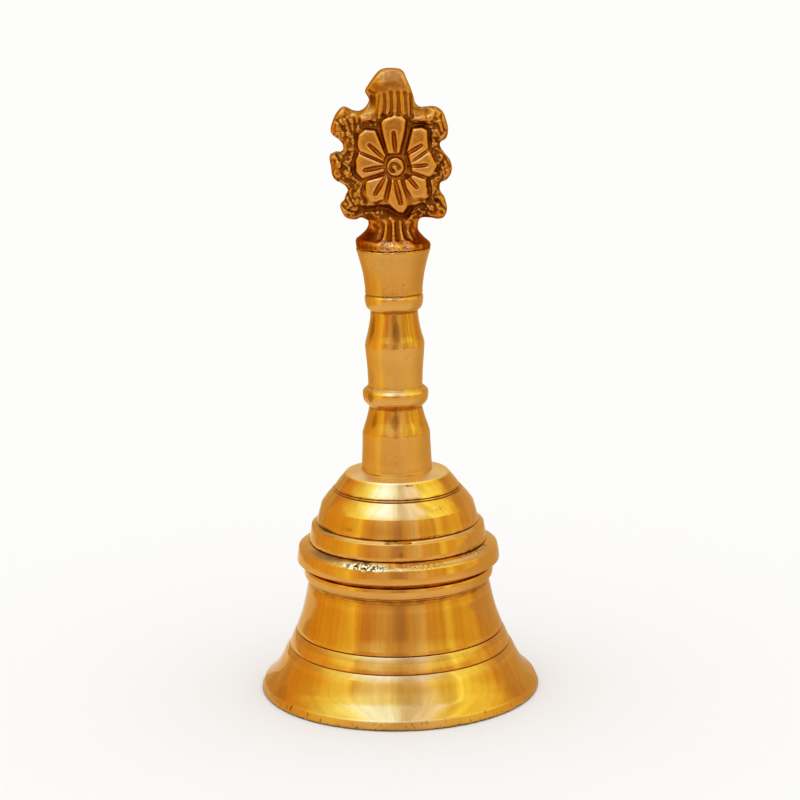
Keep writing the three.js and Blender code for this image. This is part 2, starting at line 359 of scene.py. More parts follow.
shell_inner = [
    (34.9, 0.0, "c"), (34.4, 0.5), (32.1, 4.4), (28.2, 10.7), (25.2, 16.8), (23.0, 24.5), (21.9, 33.0), (20.9, 41.0),
    (17.8, 50.0), (13.8, 55.4), (10.5, 57.0, "c"), (2.9, 57.0, "c"),
]
SHELL = section(shell_outer + shell_inner, True, sigma=0.07, tol=0.0050)
SHELL_SEGS = 288


def shell_move(r, z, a, i):
    ring = np.stack([np.cos(a) * r, np.sin(a) * r, z], axis=1)
    zz, rr = z[0], r[0]
    out = rr > 34.95 or rr > 2.0 and SHELL_OUT[i]
    if out:
        # the lip's cut edge: uneven height, small chips and file marks
        low = smoothstep(np.full(len(a), zz), 1.5, 0.0)
        if zz < 2.6 and rr > 34.0:
            chips = np.maximum(0.0, fractal(ring, 1.0, 5, 2) - 0.22)
            wave = lattice_noise(ring, 6.0, 9)
            r = r - low * (0.40 * chips + 0.035 * wave)
            z = z + low * (0.85 * chips + 0.03 * (1 + wave))
            r = r - 0.05 * np.abs(lattice_noise(ring, 0.9, 12)) * smoothstep(z, 2.6, 1.9)
        # casting pits on the flange's ledge, thickest at the front left
        side = np.degrees(np.arctan2(np.sin(a + math.radians(90 + 15)), np.cos(a + math.radians(90 + 15))))
        if 39.9 < zz < 41.45 and 24.0 < rr < 27.3:
            many = 0.10 + 0.90 * np.exp(-(side / 17.0) ** 2)
            pits = smoothstep(lattice_noise(ring, 0.85, 21), 0.22, 0.50)
            z = z - 0.30 * pits * many * smoothstep(np.full(len(a), rr), 27.25, 26.9)
        # torn edge under each band where the tool broke through
        for ze, seed, amp in ((46.75, 23, 0.20), (41.45, 24, 0.30), (56.35, 25, 0.10), (34.6, 26, 0.20), (30.6, 27, 0.16)):
            near = math.exp(-((zz - ze) / 0.34) ** 2)
            if near > 0.02:
                r = r - amp * near * np.maximum(0, fractal(ring * [1, 1, 0.3], 2.1, seed, 3) - 0.05)
        r = r * (1.0 + 0.00025 * np.sin(3 * a + 0.4) + 0.00015 * np.sin(7 * a + zz * 0.1))
    return r, z


# which section points belong to the outside
cut = int(np.argmin(np.abs(SHELL[:, 0] - 35.0) + np.abs(SHELL[:, 1]) * 3))
SHELL_OUT = np.arange(len(SHELL)) <= cut
shell = revolve("bell_shell_turned", SHELL, SHELL_SEGS, True, shell_move)
sc = coords(shell)
sr = np.hypot(sc[:, 0], sc[:, 1])
inner_r = np.interp(sc[:, 2], [0, 4.4, 10.7, 16.8, 24.5, 33.0, 41.0, 50.0, 55.4, 57.0], [34.9, 32.1, 28.2, 25.2, 23.0, 21.9, 20.9, 17.8, 13.8, 10.5])
add_float(shell, "inside", np.where((sr < inner_r + 0.5) & (sc[:, 2] < 57.3), 1.0, 0.0))
add_float(shell, "cav", cavity(shell, 6, 0.10))

# ------------------------------------------------------------------ handle
grip_items = [
    (0, 76.8, "c"), (2.8, 76.5, "c"), (2.8, 61.5, "c"), (8.9, 61.24, "c"), (9.42, 61.24, "c"),
    u(35.8, 226.9), u(35.4, 227.6), u(35.2, 229.2), u(35.1, 234.5), u(34.8, 240.0), u(34.4, 248.0), u(34.1, 256.0), u(33.9, 264.8, "c"),
    u(32.9, 268.2), u(31.4, 273.0), u(29.8, 277.6), u(28.4, 282.6), u(27.3, 287.2), u(26.4, 291.2, "c"),
    u(28.6, 293.6), u(30.6, 295.8), u(31.9, 297.9, "c"), u(32.6, 301.0), u(32.85, 304.0), u(32.8, 306.9, "c"), u(32.05, 308.1, "c"),
    u(30.1, 310.0), u(27.4, 311.9, "c"),
    u(27.15, 314.0), u(27.3, 319.6), u(27.65, 327.8), u(28.3, 336.9), u(29.05, 345.5), u(29.7, 353.6, "c"),
    u(28.9, 358.4), u(27.2, 364.2), u(25.4, 372.4), u(24.1, 380.5), u(23.5, 387.9, "c"),
    u(25.4, 389.4), u(27.4, 391.9), u(28.5, 395.6), u(29.05, 399.8), u(29.1, 402.2, "c"), u(28.45, 403.8, "c"),
    u(27.9, 404.3, "c"), u(27.9, 405.1, "c"), u(28.6, 405.8, "c"), u(28.5, 409.5), u(29.3, 417.0), u(30.5, 425.1),
    u(32.3, 433.2), u(34.5, 441.3), u(36.8, 449.2, "c"), u(36.3, 450.3, "c"),
    (2.8, 121.5, "c"), (2.8, 109.5, "c"), (0, 109.2, "c"),
]
GRIP = section(grip_items, False, sigma=0.06)


def grip_move(r, z, a, i):
    # filed by hand: the edge between cone and barrel wanders, and the flats are not quite round
    for zc, ph in ((71.5, 0.3), (95.45, 1.1)):
        w = math.exp(-((z[0] - zc) / 2.6) ** 2) * (1.0 if r[0] > 5.0 else 0.0)
        if w > 0.01:
            z = z + w * (0.42 * (np.abs(np.sin(2.5 * a + ph)) - 0.6) + 0.16 * np.sin(7 * a + 2 * ph))
    # planished cones: shallow flats side by side
    flats = (smoothstep(z, 71.6, 73.0) * smoothstep(-z, -78.6, -77.6) + smoothstep(z, 95.6, 97.0) * smoothstep(-z, -104.6, -103.4)) * (r > 5.0)
    r = r * (1.0 + 0.0065 * flats * (np.abs(np.sin(6.5 * a + 0.9 + 0.06 * z)) - 0.6))
    if r[0] > 5.0:
        ring = np.stack([np.cos(a) * r, np.sin(a) * r, z], axis=1)
        r = r * (1.0 + 0.0020 * np.sin(5 * a + 0.11 * z[0]) + 0.0016 * np.sin(9 * a + 1.3 + 0.2 * z[0])) - 0.035 * np.abs(lattice_noise(ring, 3.2, 33))
        z = z + 0.07 * lattice_noise(ring * [1, 1, 0.2], 3.0, 34)
        for zc, seed in ((103.5, 35), (108.85, 36), (78.8, 37), (84.1, 38)):
            near = math.exp(-((z[0] - zc) / 0.30) ** 2)
            if near > 0.02:
                r = r - 0.13 * near * np.maximum(0, fractal(ring, 1.4, seed, 2))
    if z.mean() > 120.6 and r[0] > 8.0:
        ring = np.stack([np.cos(a) * r, np.sin(a) * r, z], axis=1)
        n = fractal(ring, 0.9, 31, 2)
        r = r - 0.16 * np.maximum(0, n) * smoothstep(z, 120.6, 121.4)
        z = z - 0.22 * np.maximum(0, n + 0.1) * smoothstep(z, 120.8, 121.5)
    return r, z


grip = revolve("handle_grip_turned", GRIP, 224, False, grip_move)
add_float(grip, "cav", cavity(grip, 6, 0.10))
add_float(grip, "inside", np.zeros(len(grip.data.vertices)))

# ------------------------------------------------------------------ flower finial
PLATE = [
    (-1.5, 168.6), (1.1, 168.65), (2.7, 168.3), (3.5, 167.6), (4.3, 165.6), (5.3, 163.3), (6.0, 161.2), (6.4, 159.6),
    (7.4, 158.6), (9.3, 158.5), (11.1, 158.6), (12.4, 158.2), (13.7, 157.0), (14.5, 154.9), (14.9, 152.9), (14.7, 151.3),
    (14.0, 150.2), (13.0, 149.7), (12.7, 148.7), (13.3, 147.1), (14.6, 145.5), (15.5, 144.2), (15.8, 142.6), (15.4, 141.0),
    (14.3, 139.6), (12.8, 138.9), (12.5, 137.3), (13.0, 135.7), (13.8, 134.7), (14.2, 133.3), (14.4, 132.3), (14.1, 130.7),
    (13.3, 129.6), (12.0, 129.3), (10.4, 129.6), (7.5, 129.6), (6.8, 128.8), (6.4, 127.0), (5.5, 125.5), (4.5, 124.5),
    (-4.5, 124.5), (-5.4, 125.5), (-6.0, 127.2), (-6.2, 128.8), (-7.1, 129.4), (-8.4, 130.0), (-9.5, 129.6), (-10.8, 129.5),
    (-12.4, 130.1), (-13.4, 131.7), (-13.8, 133.3), (-12.9, 134.1), (-12.4, 135.5), (-11.7, 137.1), (-12.1, 138.1),
    (-13.4, 139.2), (-15.0, 140.0), (-15.8, 141.6), (-16.0, 143.4), (-16.3, 146.3), (-15.5, 146.7), (-14.7, 147.1),
    (-13.6, 147.0), (-12.8, 147.6), (-12.8, 149.2), (-13.6, 150.5), (-15.4, 151.8), (-15.9, 152.9), (-15.4, 155.2),
    (-14.1, 157.6), (-12.5, 158.9), (-11.5, 158.6), (-9.9, 157.8), (-8.1, 157.7), (-6.5, 158.9), (-5.7, 160.9),
    (-6.7, 162.9), (-6.5, 163.5), (-5.2, 165.4), (-3.8, 167.2), (-2.8, 168.2),
]
PETALS = [
    [(-1.05, 146.9), (-2.2, 152.0), (-2.6, 154.9), (-1.7, 156.0), (0.5, 156.9), (2.5, 156.8), (3.8, 155.6), (3.5, 152.6), (2.15, 146.9)],
    [(4.0, 147.4), (5.6, 153.3), (8.0, 153.6), (9.4, 152.8), (9.4, 148.0), (4.9, 144.7)],
    [(4.9, 144.2), (9.9, 147.4), (11.8, 143.1), (9.8, 140.6), (5.3, 142.2)],
    [(5.6, 141.2), (8.8, 140.0), (9.1, 135.2), (5.6, 134.9), (3.8, 137.9), (3.3, 139.9)],
    [(0.1, 140.1), (-1.1, 134.5), (-0.4, 132.7), (1.5, 131.0), (2.8, 131.0), (3.9, 132.8), (3.5, 135.4), (2.1, 140.1)],
    [(-1.6, 141.1), (-6.5, 139.9), (-7.0, 138.9), (-6.7, 136.1), (-5.5, 134.3), (-4.1, 134.1), (-2.4, 134.9), (-1.05, 140.1)],
    [(-1.8, 144.1), (-8.5, 147.1), (-9.3, 145.3), (-9.3, 142.4), (-7.6, 140.5), (-1.8, 142.4)],
    [(-1.5, 146.5), (-4.2, 153.0), (-6.8, 153.3), (-8.5, 151.9), (-8.9, 149.2), (-8.3, 147.7), (-1.9, 145.0)],
]
SLOTS = [
    ((1.0, 147.4), (0.6, 152.4), 0.52), ((3.8, 146.7), (7.8, 149.0), 0.49), ((4.7, 143.5), (9.2, 143.8), 0.42),
    ((3.8, 141.1), (6.5, 137.9), 0.49), ((0.8, 139.9), (2.2, 133.8), 0.66), ((-1.8, 140.8), (-4.5, 136.4), 0.56),
    ((-1.8, 143.6), (-7.1, 142.7), 0.56), ((-1.7, 145.4), (-5.8, 149.3), 0.49),
]
BOSS = (0.97, 143.5)
# cut lines in the relief: points, half width, depth
LINES = [
    ([(-3.65, 155.7), (-3.1, 153.3), (-2.3, 149.8), (-1.05, 146.8)], 0.50, 0.30),
    ([(4.8, 155.0), (4.2, 151.9), (3.1, 149.1), (2.1, 147.0)], 0.62, 0.30),
    ([(5.9, 154.5), (10.4, 154.2)], 0.26, 0.5), ([(-7.4, 154.7), (-4.2, 155.0)], 0.26, 0.5),
    ([(5.25, 161.2), (5.35, 158.8), (5.5, 156.0)], 0.34, 0.6),
    ([(-1.65, 162.2), (-1.5, 160.0), (-1.9, 156.8)], 0.56, 0.74), ([(0.10, 162.7), (0.15, 159.5), (-0.05, 157.0)], 0.54, 0.76),
    ([(1.90, 162.6), (2.10, 159.8), (2.05, 157.2)], 0.58, 0.78), ([(3.70, 162.5), (3.85, 160.0), (4.2, 157.0)], 0.54, 0.74),
    ([(-2.95, 162.1), (-3.75, 156.7)], 0.34, 0.6),
    ([(-5.6, 163.2), (-4.4, 162.7), (-3.4, 162.75)], 0.30, 0.35),
    ([(10.0, 152.9), (10.15, 147.35)], 0.36, 0.6),
    ([(11.8, 142.3), (13.1, 144.4), (14.1, 145.8)], 0.45, 0.8), ([(10.4, 140.3), (12.2, 141.4)], 0.36, 0.5),
    ([(9.6, 139.9), (9.95, 135.1), (9.3, 134.3)], 0.45, 0.8),
    ([(-8.4, 132.9), (-6.3, 132.3), (-3.2, 132.6), (-1.1, 132.3), (1.0, 130.15), (3.1, 130.0), (5.2, 132.3), (8.0, 133.1), (11.5, 134.4)], 0.8, 1.1),
    ([(-9.3, 147.0), (-10.3, 144.6), (-9.8, 141.4), (-8.0, 139.9)], 0.34, 0.6),
    ([(-9.2, 151.9), (-9.3, 149.1), (-9.8, 147.0)], 0.3, 0.5), ([(-7.3, 138.8), (-8.05, 136.5), (-7.0, 134.4)], 0.36, 0.6),
    ([(-14.45, 147.0), (-13.25, 144.6), (-11.3, 142.5)], 0.27, 0.5), ([(-13.6, 142.5), (-12.05, 140.6), (-9.8, 139.5)], 0.27, 0.5),
    ([(-12.7, 144.9), (-11.0, 143.9), (-10.1, 141.8)], 0.24, 0.45), ([(-14.2, 155.7), (-12.5, 153.9), (-11.8, 151.2)], 0.3, 0.55),
    ([(-12.15, 156.7), (-10.9, 154.6), (-10.4, 151.9)], 0.27, 0.55), ([(-9.7, 156.35), (-9.3, 153.9), (-9.6, 151.9)], 0.27, 0.5),
    ([(-8.3, 156.0), (-8.0, 153.9)], 0.24, 0.4), ([(-13.3, 133.4), (-11.6, 132.0), (-9.1, 131.6)], 0.27, 0.5),
    ([(-11.9, 136.5), (-10.7, 134.4), (-9.8, 133.0)], 0.27, 0.5), ([(-12.8, 135.1), (-11.55, 133.7)], 0.24, 0.4),
    ([(11.8, 156.0), (12.3, 153.6), (13.0, 151.5)], 0.3, 0.6), ([(13.0, 156.7), (13.4, 154.3), (13.9, 152.55)], 0.27, 0.55),
    ([(11.5, 150.5), (12.7, 149.1)], 0.27, 0.5), ([(11.8, 144.9), (13.4, 143.9), (14.1, 141.4)], 0.27, 0.5),
    ([(12.5, 147.0), (13.9, 146.0), (14.6, 144.2)], 0.26, 0.45), ([(10.5, 133.4), (11.9, 132.0), (13.1, 130.9)], 0.27, 0.5),
    ([(11.9, 134.4), (13.1, 133.0), (13.8, 132.0)], 0.26, 0.5), ([(8.0, 132.0), (10.15, 131.3)], 0.26, 0.4),
    ([(5.9, 132.0), (7.35, 130.9)], 0.24, 0.4),
]


def poly_sdf(X, Z, poly):
    """Signed distance to a closed polygon, negative inside."""
    p = np.asarray(poly, float)
    d = np.full(X.shape, 1e9)
    inside = np.zeros(X.shape, bool)
    for a, b in zip(p, np.roll(p, -1, axis=0)):
        e = b - a
        wx, wz = X - a[0], Z - a[1]
        t = np.clip((wx * e[0] + wz * e[1]) / (e @ e + 1e-12), 0, 1)
        d = np.minimum(d, (wx - t * e[0]) ** 2 + (wz - t * e[1]) ** 2)
        if a[1] != b[1]:
            hit = ((a[1] > Z) != (b[1] > Z)) & (X < (b[0] - a[0]) * (Z - a[1]) / (b[1] - a[1]) + a[0])
            inside ^= hit
    return np.where(inside, -1.0, 1.0) * np.sqrt(d)


def line_distance(X, Z, pts):
    d = np.full(X.shape, 1e9)
    for a, b in zip(pts, pts[1:]):
        a, b = np.asarray(a, float), np.asarray(b, float)
        e = b - a
        t = np.clip(((X - a[0]) * e[0] + (Z - a[1]) * e[1]) / (e @ e), 0, 1)
        d = np.minimum(d, (X - a[0] - t * e[0]) ** 2 + (Z - a[1] - t * e[1]) ** 2)
    return np.sqrt(d)


H = 0.21
HY = 0.42                      # the relief is nearly flat across the thickness
fx = np.arange(-17.0, 16.6, H)
fy = np.arange(-10.92, 11.0, HY)
fz = np.arange(121.2, 169.6, H)
X2, Z2 = np.meshgrid(fx, fz, indexing="ij")
P2 = np.stack([X2.ravel(), np.zeros(X2.size), Z2.ravel()], axis=1)


def flat_noise(cell, seed, octaves=2):
    return fractal(P2, cell, seed, octaves).reshape(X2.shape)


closed_outline = np.array(PLATE + PLATE[:3])
smooth_outline = spline(closed_outline, 5)
smooth_outline = smooth_outline[5:5 * (len(PLATE)) + 5]
d_out = poly_sdf(X2, Z2, smooth_outline)
d_pet = np.min([poly_sdf(X2, Z2, p) for p in PETALS], axis=0) - 0.20
rb = np.hypot((X2 - BOSS[0]) / 2.55, (Z2 - BOSS[1]) / 2.8)

def blur(field, radius):
    """Gaussian blur of a 2-D field, radius in mm."""
    k = max(1, int(3 * radius / H))
    w = np.exp(-0.5 * (np.arange(-k, k + 1) * H / radius) ** 2)
    w /= w.sum()
    for axis in (0, 1):
        pad = [(k, k) if m == axis else (0, 0) for m in (0, 1)]
        e = np.pad(field, pad, mode="edge")
        field = sum(w[i] * (e[i:i + field.shape[0]] if axis == 0 else e[:, i:i + field.shape[1]]) for i in range(2 * k + 1))
    return field


def bump(cx, cz, sx, sz, turn=0.0):
    c, t = math.cos(math.radians(turn)), math.sin(math.radians(turn))
    a, b = (X2 - cx) * c + (Z2 - cz) * t, -(X2 - cx) * t + (Z2 - cz) * c
    return np.exp(-(a / sx) ** 2 - (b / sz) ** 2)


# leaf plate: thick in the middle, thinner at the edge
h = 3.30 + 1.15 * smoothstep(-d_out, 0.0, 3.0)
# zone of the six leaves, outside the flower, below the knob and its shoulders
leaf = smoothstep(np.hypot(X2 / 1.02, (Z2 - 143.5) / 1.15), 8.6, 10.2) * (1 - smoothstep(Z2, 156.0, 158.0) * smoothstep(-np.abs(X2 - 0.2), -9.5, -8.0))
# each leaf is a curled scroll: raised lip, hollow, small raised core
for cx, cz, sx, sz, turn in ((-13.0, 154.4, 2.5, 2.9, -25), (12.2, 154.5, 2.3, 2.9, 20), (-13.7, 143.2, 2.2, 2.8, -20),
                             (13.4, 142.6, 2.1, 2.5, 10), (-11.2, 132.7, 2.6, 2.1, 20), (11.8, 132.3, 2.5, 2.0, -20)):
    h += 0.40 * bump(cx, cz, sx, sz, turn)
    h -= 0.75 * bump(cx * 0.93, cz - 0.3, sx * 0.42, sz * 0.5, turn)
    h += 0.45 * bump(cx * 0.99, cz + 0.5, sx * 0.20, sz * 0.20, turn)
h += leaf * 0.30 * np.exp(-((-d_out - 0.85) / 0.6) ** 2)
# small curls cut into each leaf
curl_ink = np.zeros(X2.shape)
picker = np.random.RandomState(83)
for cx, cz in ((-13.2, 154.2), (-11.3, 151.9), (-13.9, 151.6), (-11.2, 155.6), (12.9, 154.6), (12.0, 152.2), (13.5, 151.9), (11.3, 155.9), (-13.9, 144.4), (-12.0, 142.6),
               (-14.4, 141.9), (-11.6, 145.2), (13.3, 143.9), (14.2, 141.9), (12.4, 141.2), (12.2, 145.3), (-11.7, 132.6), (-9.6, 131.5), (-11.0, 134.6), (12.2, 132.6),
               (10.2, 131.4), (11.6, 134.7), (13.2, 131.2), (9.6, 133.4)):
    cx, cz = cx + picker.uniform(-0.3, 0.3), cz + picker.uniform(-0.3, 0.3)
    size, open_at = picker.uniform(0.62, 0.95), picker.uniform(0, 360)
    d = np.hypot((X2 - cx) / 0.85, Z2 - cz)
    bearing = (np.degrees(np.arctan2(Z2 - cz, X2 - cx)) - open_at + 180) % 360 - 180
    sector = smoothstep(np.abs(bearing), 35, 70)
    h += 0.26 * np.exp(-((d - size) / 0.34) ** 2) * sector - 0.18 * np.exp(-(d / (0.7 * size)) ** 2)
    curl_ink = np.maximum(curl_ink, 0.32 * np.exp(-(d / (0.75 * size)) ** 2))
    curl_ink = np.maximum(curl_ink, 0.5 * np.exp(-((d - size - 0.50) / 0.26) ** 2) * sector)
# lumps and veins pressed into the leaves
lump = flat_noise(1.9, 41, 2)
vein = 1.0 - np.abs(flat_noise(2.0, 47, 2)) * 3.4
h += leaf * 0.46 * lump + leaf * 0.07 * flat_noise(0.85, 43, 2)
h -= leaf * 0.46 * smoothstep(vein, 0.2, 1.0) * smoothstep(-d_out, 0.5, 1.3)
# shoulders beside the fluted block
h += 0.75 * bump(8.3, 156.2, 2.4, 1.5) - 0.55 * bump(7.2, 158.2, 1.6, 1.2) - 0.4 * bump(8.0, 153.9, 2.6, 0.8)
h += 0.85 * bump(-6.7, 156.8, 1.9, 1.5, 20) - 0.45 * bump(-8.6, 154.6, 1.8, 0.9, -30) - 0.5 * bump(-4.9, 160.2, 0.9, 1.8)
# fluted block
block = smoothstep(X2, -4.4, -3.2) * smoothstep(-X2, -5.4, -4.5) * smoothstep(Z2, 155.6, 157.4)
h = h + block * 0.75
# knob: rounded wedge, thinner at the top
knob = smoothstep(Z2, 161.9, 163.6)
face = 5.0 - 0.20 * np.maximum(0, Z2 - 165.0 + 0.06 * X2) ** 1.55 - 0.020 * (X2 - 0.4) ** 2 - 0.09 * np.maximum(0, -X2 - 1.6) ** 1.6
face += 0.10 * bump(0.4, 164.2, 2.2, 0.8) + 0.16 * bump(-2.6, 165.2, 1.1, 1.0) + 0.08 * flat_noise(2.2, 53, 2)
h = h * (1 - knob) + knob * face
# cross-hatched patch, lower left
hatch = np.exp(-(((X2 + 9.2) / 2.3) ** 2 + ((Z2 - 138.6) / 2.6) ** 2)) * smoothstep(d_pet, 0.1, 0.5)
h -= 0.26 * smoothstep(hatch, 0.25, 0.6) * np.maximum(smoothstep(np.cos((X2 + Z2) * 6.6), 0.0, 0.9), smoothstep(np.cos((X2 - Z2) * 6.2), 0.0, 0.9))
# moat round the flower, deepest below it
hub = np.hypot((X2 - 0.4) / 9.6, (Z2 - 143.9) / 11.6)
between = 1.0 - smoothstep(hub, 0.78, 0.96)
h -= (0.22 + 0.20 * between) * np.exp(-(np.maximum(d_pet, 0) / 0.75) ** 2)
h -= 0.70 * smoothstep(-Z2, -133.6, -131.8) * smoothstep(Z2, 128.6, 130.2) * smoothstep(-np.abs(X2 - 0.8), -9.0, -7.0)
# petals: nearly flat, leaning down a little, with rounded shoulders
rad = np.hypot(X2 - BOSS[0], Z2 - BOSS[1])
lean = 0.055 * (Z2 - 143.5) - 0.010 * (X2 - 1.0)
top = 5.65 + lean - 0.020 * np.maximum(0, rad - 5.0) ** 1.4 - 0.42 * smoothstep(-d_pet, 1.0, -0.1) + 0.05 * flat_noise(2.6, 57, 1)
pet = smoothstep(-d_pet, -0.34, 0.26)
h = h * (1 - pet) + top * pet
for (a, b, w) in SLOTS:
    a, b = np.array(a), np.array(b)
    e = b - a
    t = np.clip(((X2 - a[0]) * e[0] + (Z2 - a[1]) * e[1]) / (e @ e), 0, 1)
    d = np.hypot(X2 - a[0] - t * e[0], Z2 - a[1] - t * e[1])
    wide = w * (0.70 + 0.42 * np.sin(math.pi * np.clip(t, 0.05, 0.95)) * 0.8 + 0.15 * t)
    h -= 1.05 * smoothstep(wide - d, -0.28, 0.48)
ink = curl_ink * (1 - pet)
for pts, w, depth in LINES:
    d = line_distance(X2, Z2, spline(np.array(pts), 6))
    ink = np.maximum(ink, min(1.0, 0.35 + 0.8 * depth) * smoothstep(w * 1.25 - d, 0.0, w * 0.8))
    h -= 0.95 * depth * np.exp(-(d / (w * 1.12)) ** 2 * 1.1) * (1 - 0.75 * smoothstep(-d_pet, 0.35, 0.6))
# boss with a small bent pit
boss = smoothstep(1.0 - rb, -0.03, 0.20)
ditch = smoothstep(1.20 - rb, -0.08, 0.12)
h = h * (1 - ditch) + 4.65 * ditch
dome = 5.30 + 0.95 * np.sqrt(np.clip(1 - rb ** 2, 0, 1))
h = h * (1 - boss) + dome * boss
ba = np.degrees(np.arctan2(Z2 - BOSS[1] + 0.25, X2 - BOSS[0] + 0.15))
ring = np.abs(np.hypot((X2 - BOSS[0] + 0.22) / 1.15, Z2 - BOSS[1] + 0.20) - 1.0 - 0.12 * flat_noise(0.9, 58, 1))
arc = smoothstep(-ring, -0.70, -0.12) * (1 - smoothstep(-np.abs(ba + 62), -38, -20))
h -= 0.75 * arc + 0.25 * bump(0.2, 142.6, 0.9, 0.5)
h += 0.030 * flat_noise(1.2, 51, 2)
h = np.maximum(h, 1.2)
h = 0.35 * h + 0.65 * blur(h, 0.19)
ink = np.maximum(ink, 0.85 * smoothstep(hatch, 0.25, 0.6) * smoothstep(np.cos((X2 + Z2) * 6.6) + np.cos((X2 - Z2) * 6.2), 0.3, 1.2))
ink = np.maximum(ink, 0.85 * smoothstep(-np.abs(d_pet - 0.60), -0.80, -0.15) * (0.25 + 0.75 * between) * (1 - boss))
ink = np.maximum(ink, 0.42 * np.exp(-((rad - 3.3) / 1.3) ** 2) * (0.6 + 0.4 * np.clip(flat_noise(0.9, 44, 2) * 2, -1, 1)) * (1 - boss))
ink = np.maximum(ink, leaf * (1 - pet) * 0.75 * smoothstep(flat_noise(1.1, 45, 3), 0.10, 0.34))
ink = np.maximum(ink, 0.55 * smoothstep(-Z2, -133.6, -131.8) * smoothstep(Z2, 129.6, 131.0) * smoothstep(-np.abs(X2 - 0.8), -10.5, -8.0) * smoothstep(d_pet, -0.1, 0.3))
ink = blur(ink, 0.12)
sink = blur(h, 1.15) - h
wide_sink = blur(h, 2.6) - h

Y3 = fy[None, :, None]
f = np.abs(Y3) - h[:, None, :]
g = np.broadcast_to(d_out[:, None, :], f.shape)
k = 0.95
f = np.maximum(f, g) + np.maximum(k - np.abs(f - g), 0) ** 2 / (4 * k)
# round foot with fanned flutes
X3, Z3 = fx[:, None, None], fz[None, None, :]
ZT = (fz[None, :] + 0.62 * fx[:, None] / 9.6).ravel()
FZ = [121.2, 122.0, 122.9, 123.5, 124.2, 125.0, 126.0, 127.2, 128.6, 130.0, 131.5]
A3 = np.interp(ZT, FZ, [9.75, 9.85, 10.0, 9.8, 8.9, 8.05, 7.1, 6.35, 6.15, 5.8, 3.8]).reshape(len(fx), 1, len(fz))
B3 = np.interp(ZT, FZ, [9.45, 9.55, 9.5, 9.1, 8.3, 7.5, 6.5, 5.6, 4.9, 4.3, 2.8]).reshape(len(fx), 1, len(fz))
rho = np.sqrt((X3 / A3) ** 2 + (Y3 / B3) ** 2)
phi = np.arctan2(X3 / A3, np.abs(Y3) / B3)
foot = (rho - 1.0) * np.minimum(A3, B3)
flute = smoothstep(phi, -0.55, -0.3) * smoothstep(-phi, -0.95, -0.7)
fl_h = smoothstep(Z3, 124.1, 124.7) * smoothstep(-Z3, -129.6, -128.6)
toe_h = smoothstep(Z3, 122.0, 122.5) * smoothstep(-Z3, -124.7, -124.2)
ridge = np.maximum(0, 0.5 + 0.5 * np.cos(20.0 * (phi - 0.02))) ** 1.7
foot = foot - flute * fl_h * (0.80 * ridge - 0.42) - 0.30 * flute * toe_h * np.cos(13 * (phi - 0.04))
foot = np.maximum(foot, Z3 - 131.2)
k = 1.1
f = np.minimum(f, foot) - np.maximum(k - np.abs(f - foot), 0) ** 2 / (4 * k)
near = np.argwhere(np.abs(f) < 0.7)
pts = np.stack([fx[near[:, 0]], fy[near[:, 1]], fz[near[:, 2]]], axis=1)
rough = 0.030 * lattice_noise(pts, 0.9, 61) + 0.018 * lattice_noise(pts, 0.45, 62)
low = smoothstep(pts[:, 2], 124.0, 122.0)
rough = rough + low * (0.10 * lattice_noise(pts, 0.8, 63) + 0.06 * lattice_noise(pts, 0.4, 64))
f[near[:, 0], near[:, 1], near[:, 2]] += rough
floor = 121.60 + 0.13 * fractal(np.stack([np.repeat(fx, len(fy)), np.tile(fy, len(fx)), np.zeros(len(fx) * len(fy))], axis=1), 0.9, 65, 2).reshape(len(fx), len(fy))
f = np.maximum(f, floor[:, :, None] - Z3)
# tapped hole in the foot
hole = np.maximum(2.8 - np.hypot(X3, Y3) + 0 * Z3, Z3 - 130.8)
f = np.maximum(f, -np.maximum(np.hypot(X3, Y3) - 2.8, Z3 - 130.8))
fv, fq = surface_nets(f, (fx[0], fy[0], fz[0]), np.array([H, HY, H]))
finial = mesh_object("flower_finial_cast", fv, fq)
c1 = cavity(finial, 6, 0.10)
c2 = cavity(finial, 36, 0.42)
fc = coords(finial)


def from_plan(field):
    i = np.clip((fc[:, 0] - fx[0]) / H, 0, len(fx) - 1.001)
    k = np.clip((fc[:, 2] - fz[0]) / H, 0, len(fz) - 1.001)
    i0, k0 = i.astype(int), k.astype(int)
    u_, v_ = i - i0, k - k0
    return (field[i0, k0] * (1 - u_) * (1 - v_) + field[i0 + 1, k0] * u_ * (1 - v_) + field[i0, k0 + 1] * (1 - u_) * v_ + field[i0 + 1, k0 + 1] * u_ * v_)


on_face = smoothstep(np.abs(fc[:, 1]), 1.6, 2.8) * smoothstep(fc[:, 2], 128.0, 130.5)
hollow = (1 + 0.45 * from_plan(leaf)) * (np.clip(from_plan(sink) / 0.80, -1, 1) * 0.75 + np.clip(from_plan(wide_sink) / 1.3, -1, 1) * 0.30 + 0.8 * from_plan(arc) + 1.1 * from_plan(bump(0.0, 142.5, 1.0, 0.55)) + 0.85 * from_plan(ink))
add_float(finial, "cav", np.clip(on_face * hollow + (1 - on_face) * (0.35 * c1 + 0.85 * c2), -1, 1))
add_float(finial, "fine", c1)
add_float(finial, "polish", smoothstep(np.abs(fc[:, 1]), 4.7, 5.5))
petal_top = from_plan(pet) * on_face
dull = np.where(on_face > 0.5, 0.25 + 0.75 * np.clip(from_plan(leaf), 0, 1), 0.8) * (1 - 0.9 * petal_top)
dull = np.maximum(dull, 0.55 * smoothstep(fc[:, 2], 156.0, 158.5) * (1 - 0.8 * from_plan(bump(0.9, 166.8, 2.6, 1.1))))
toe = smoothstep(-fc[:, 2], -124.6, -123.8) * np.exp(-((fc[:, 0] - 0.3) / 4.6) ** 2)
dull = np.maximum(dull, 0.95 * smoothstep(-fc[:, 2], -132.0, -130.0) * (1 - 0.75 * toe))
add_float(finial, "dull", dull)
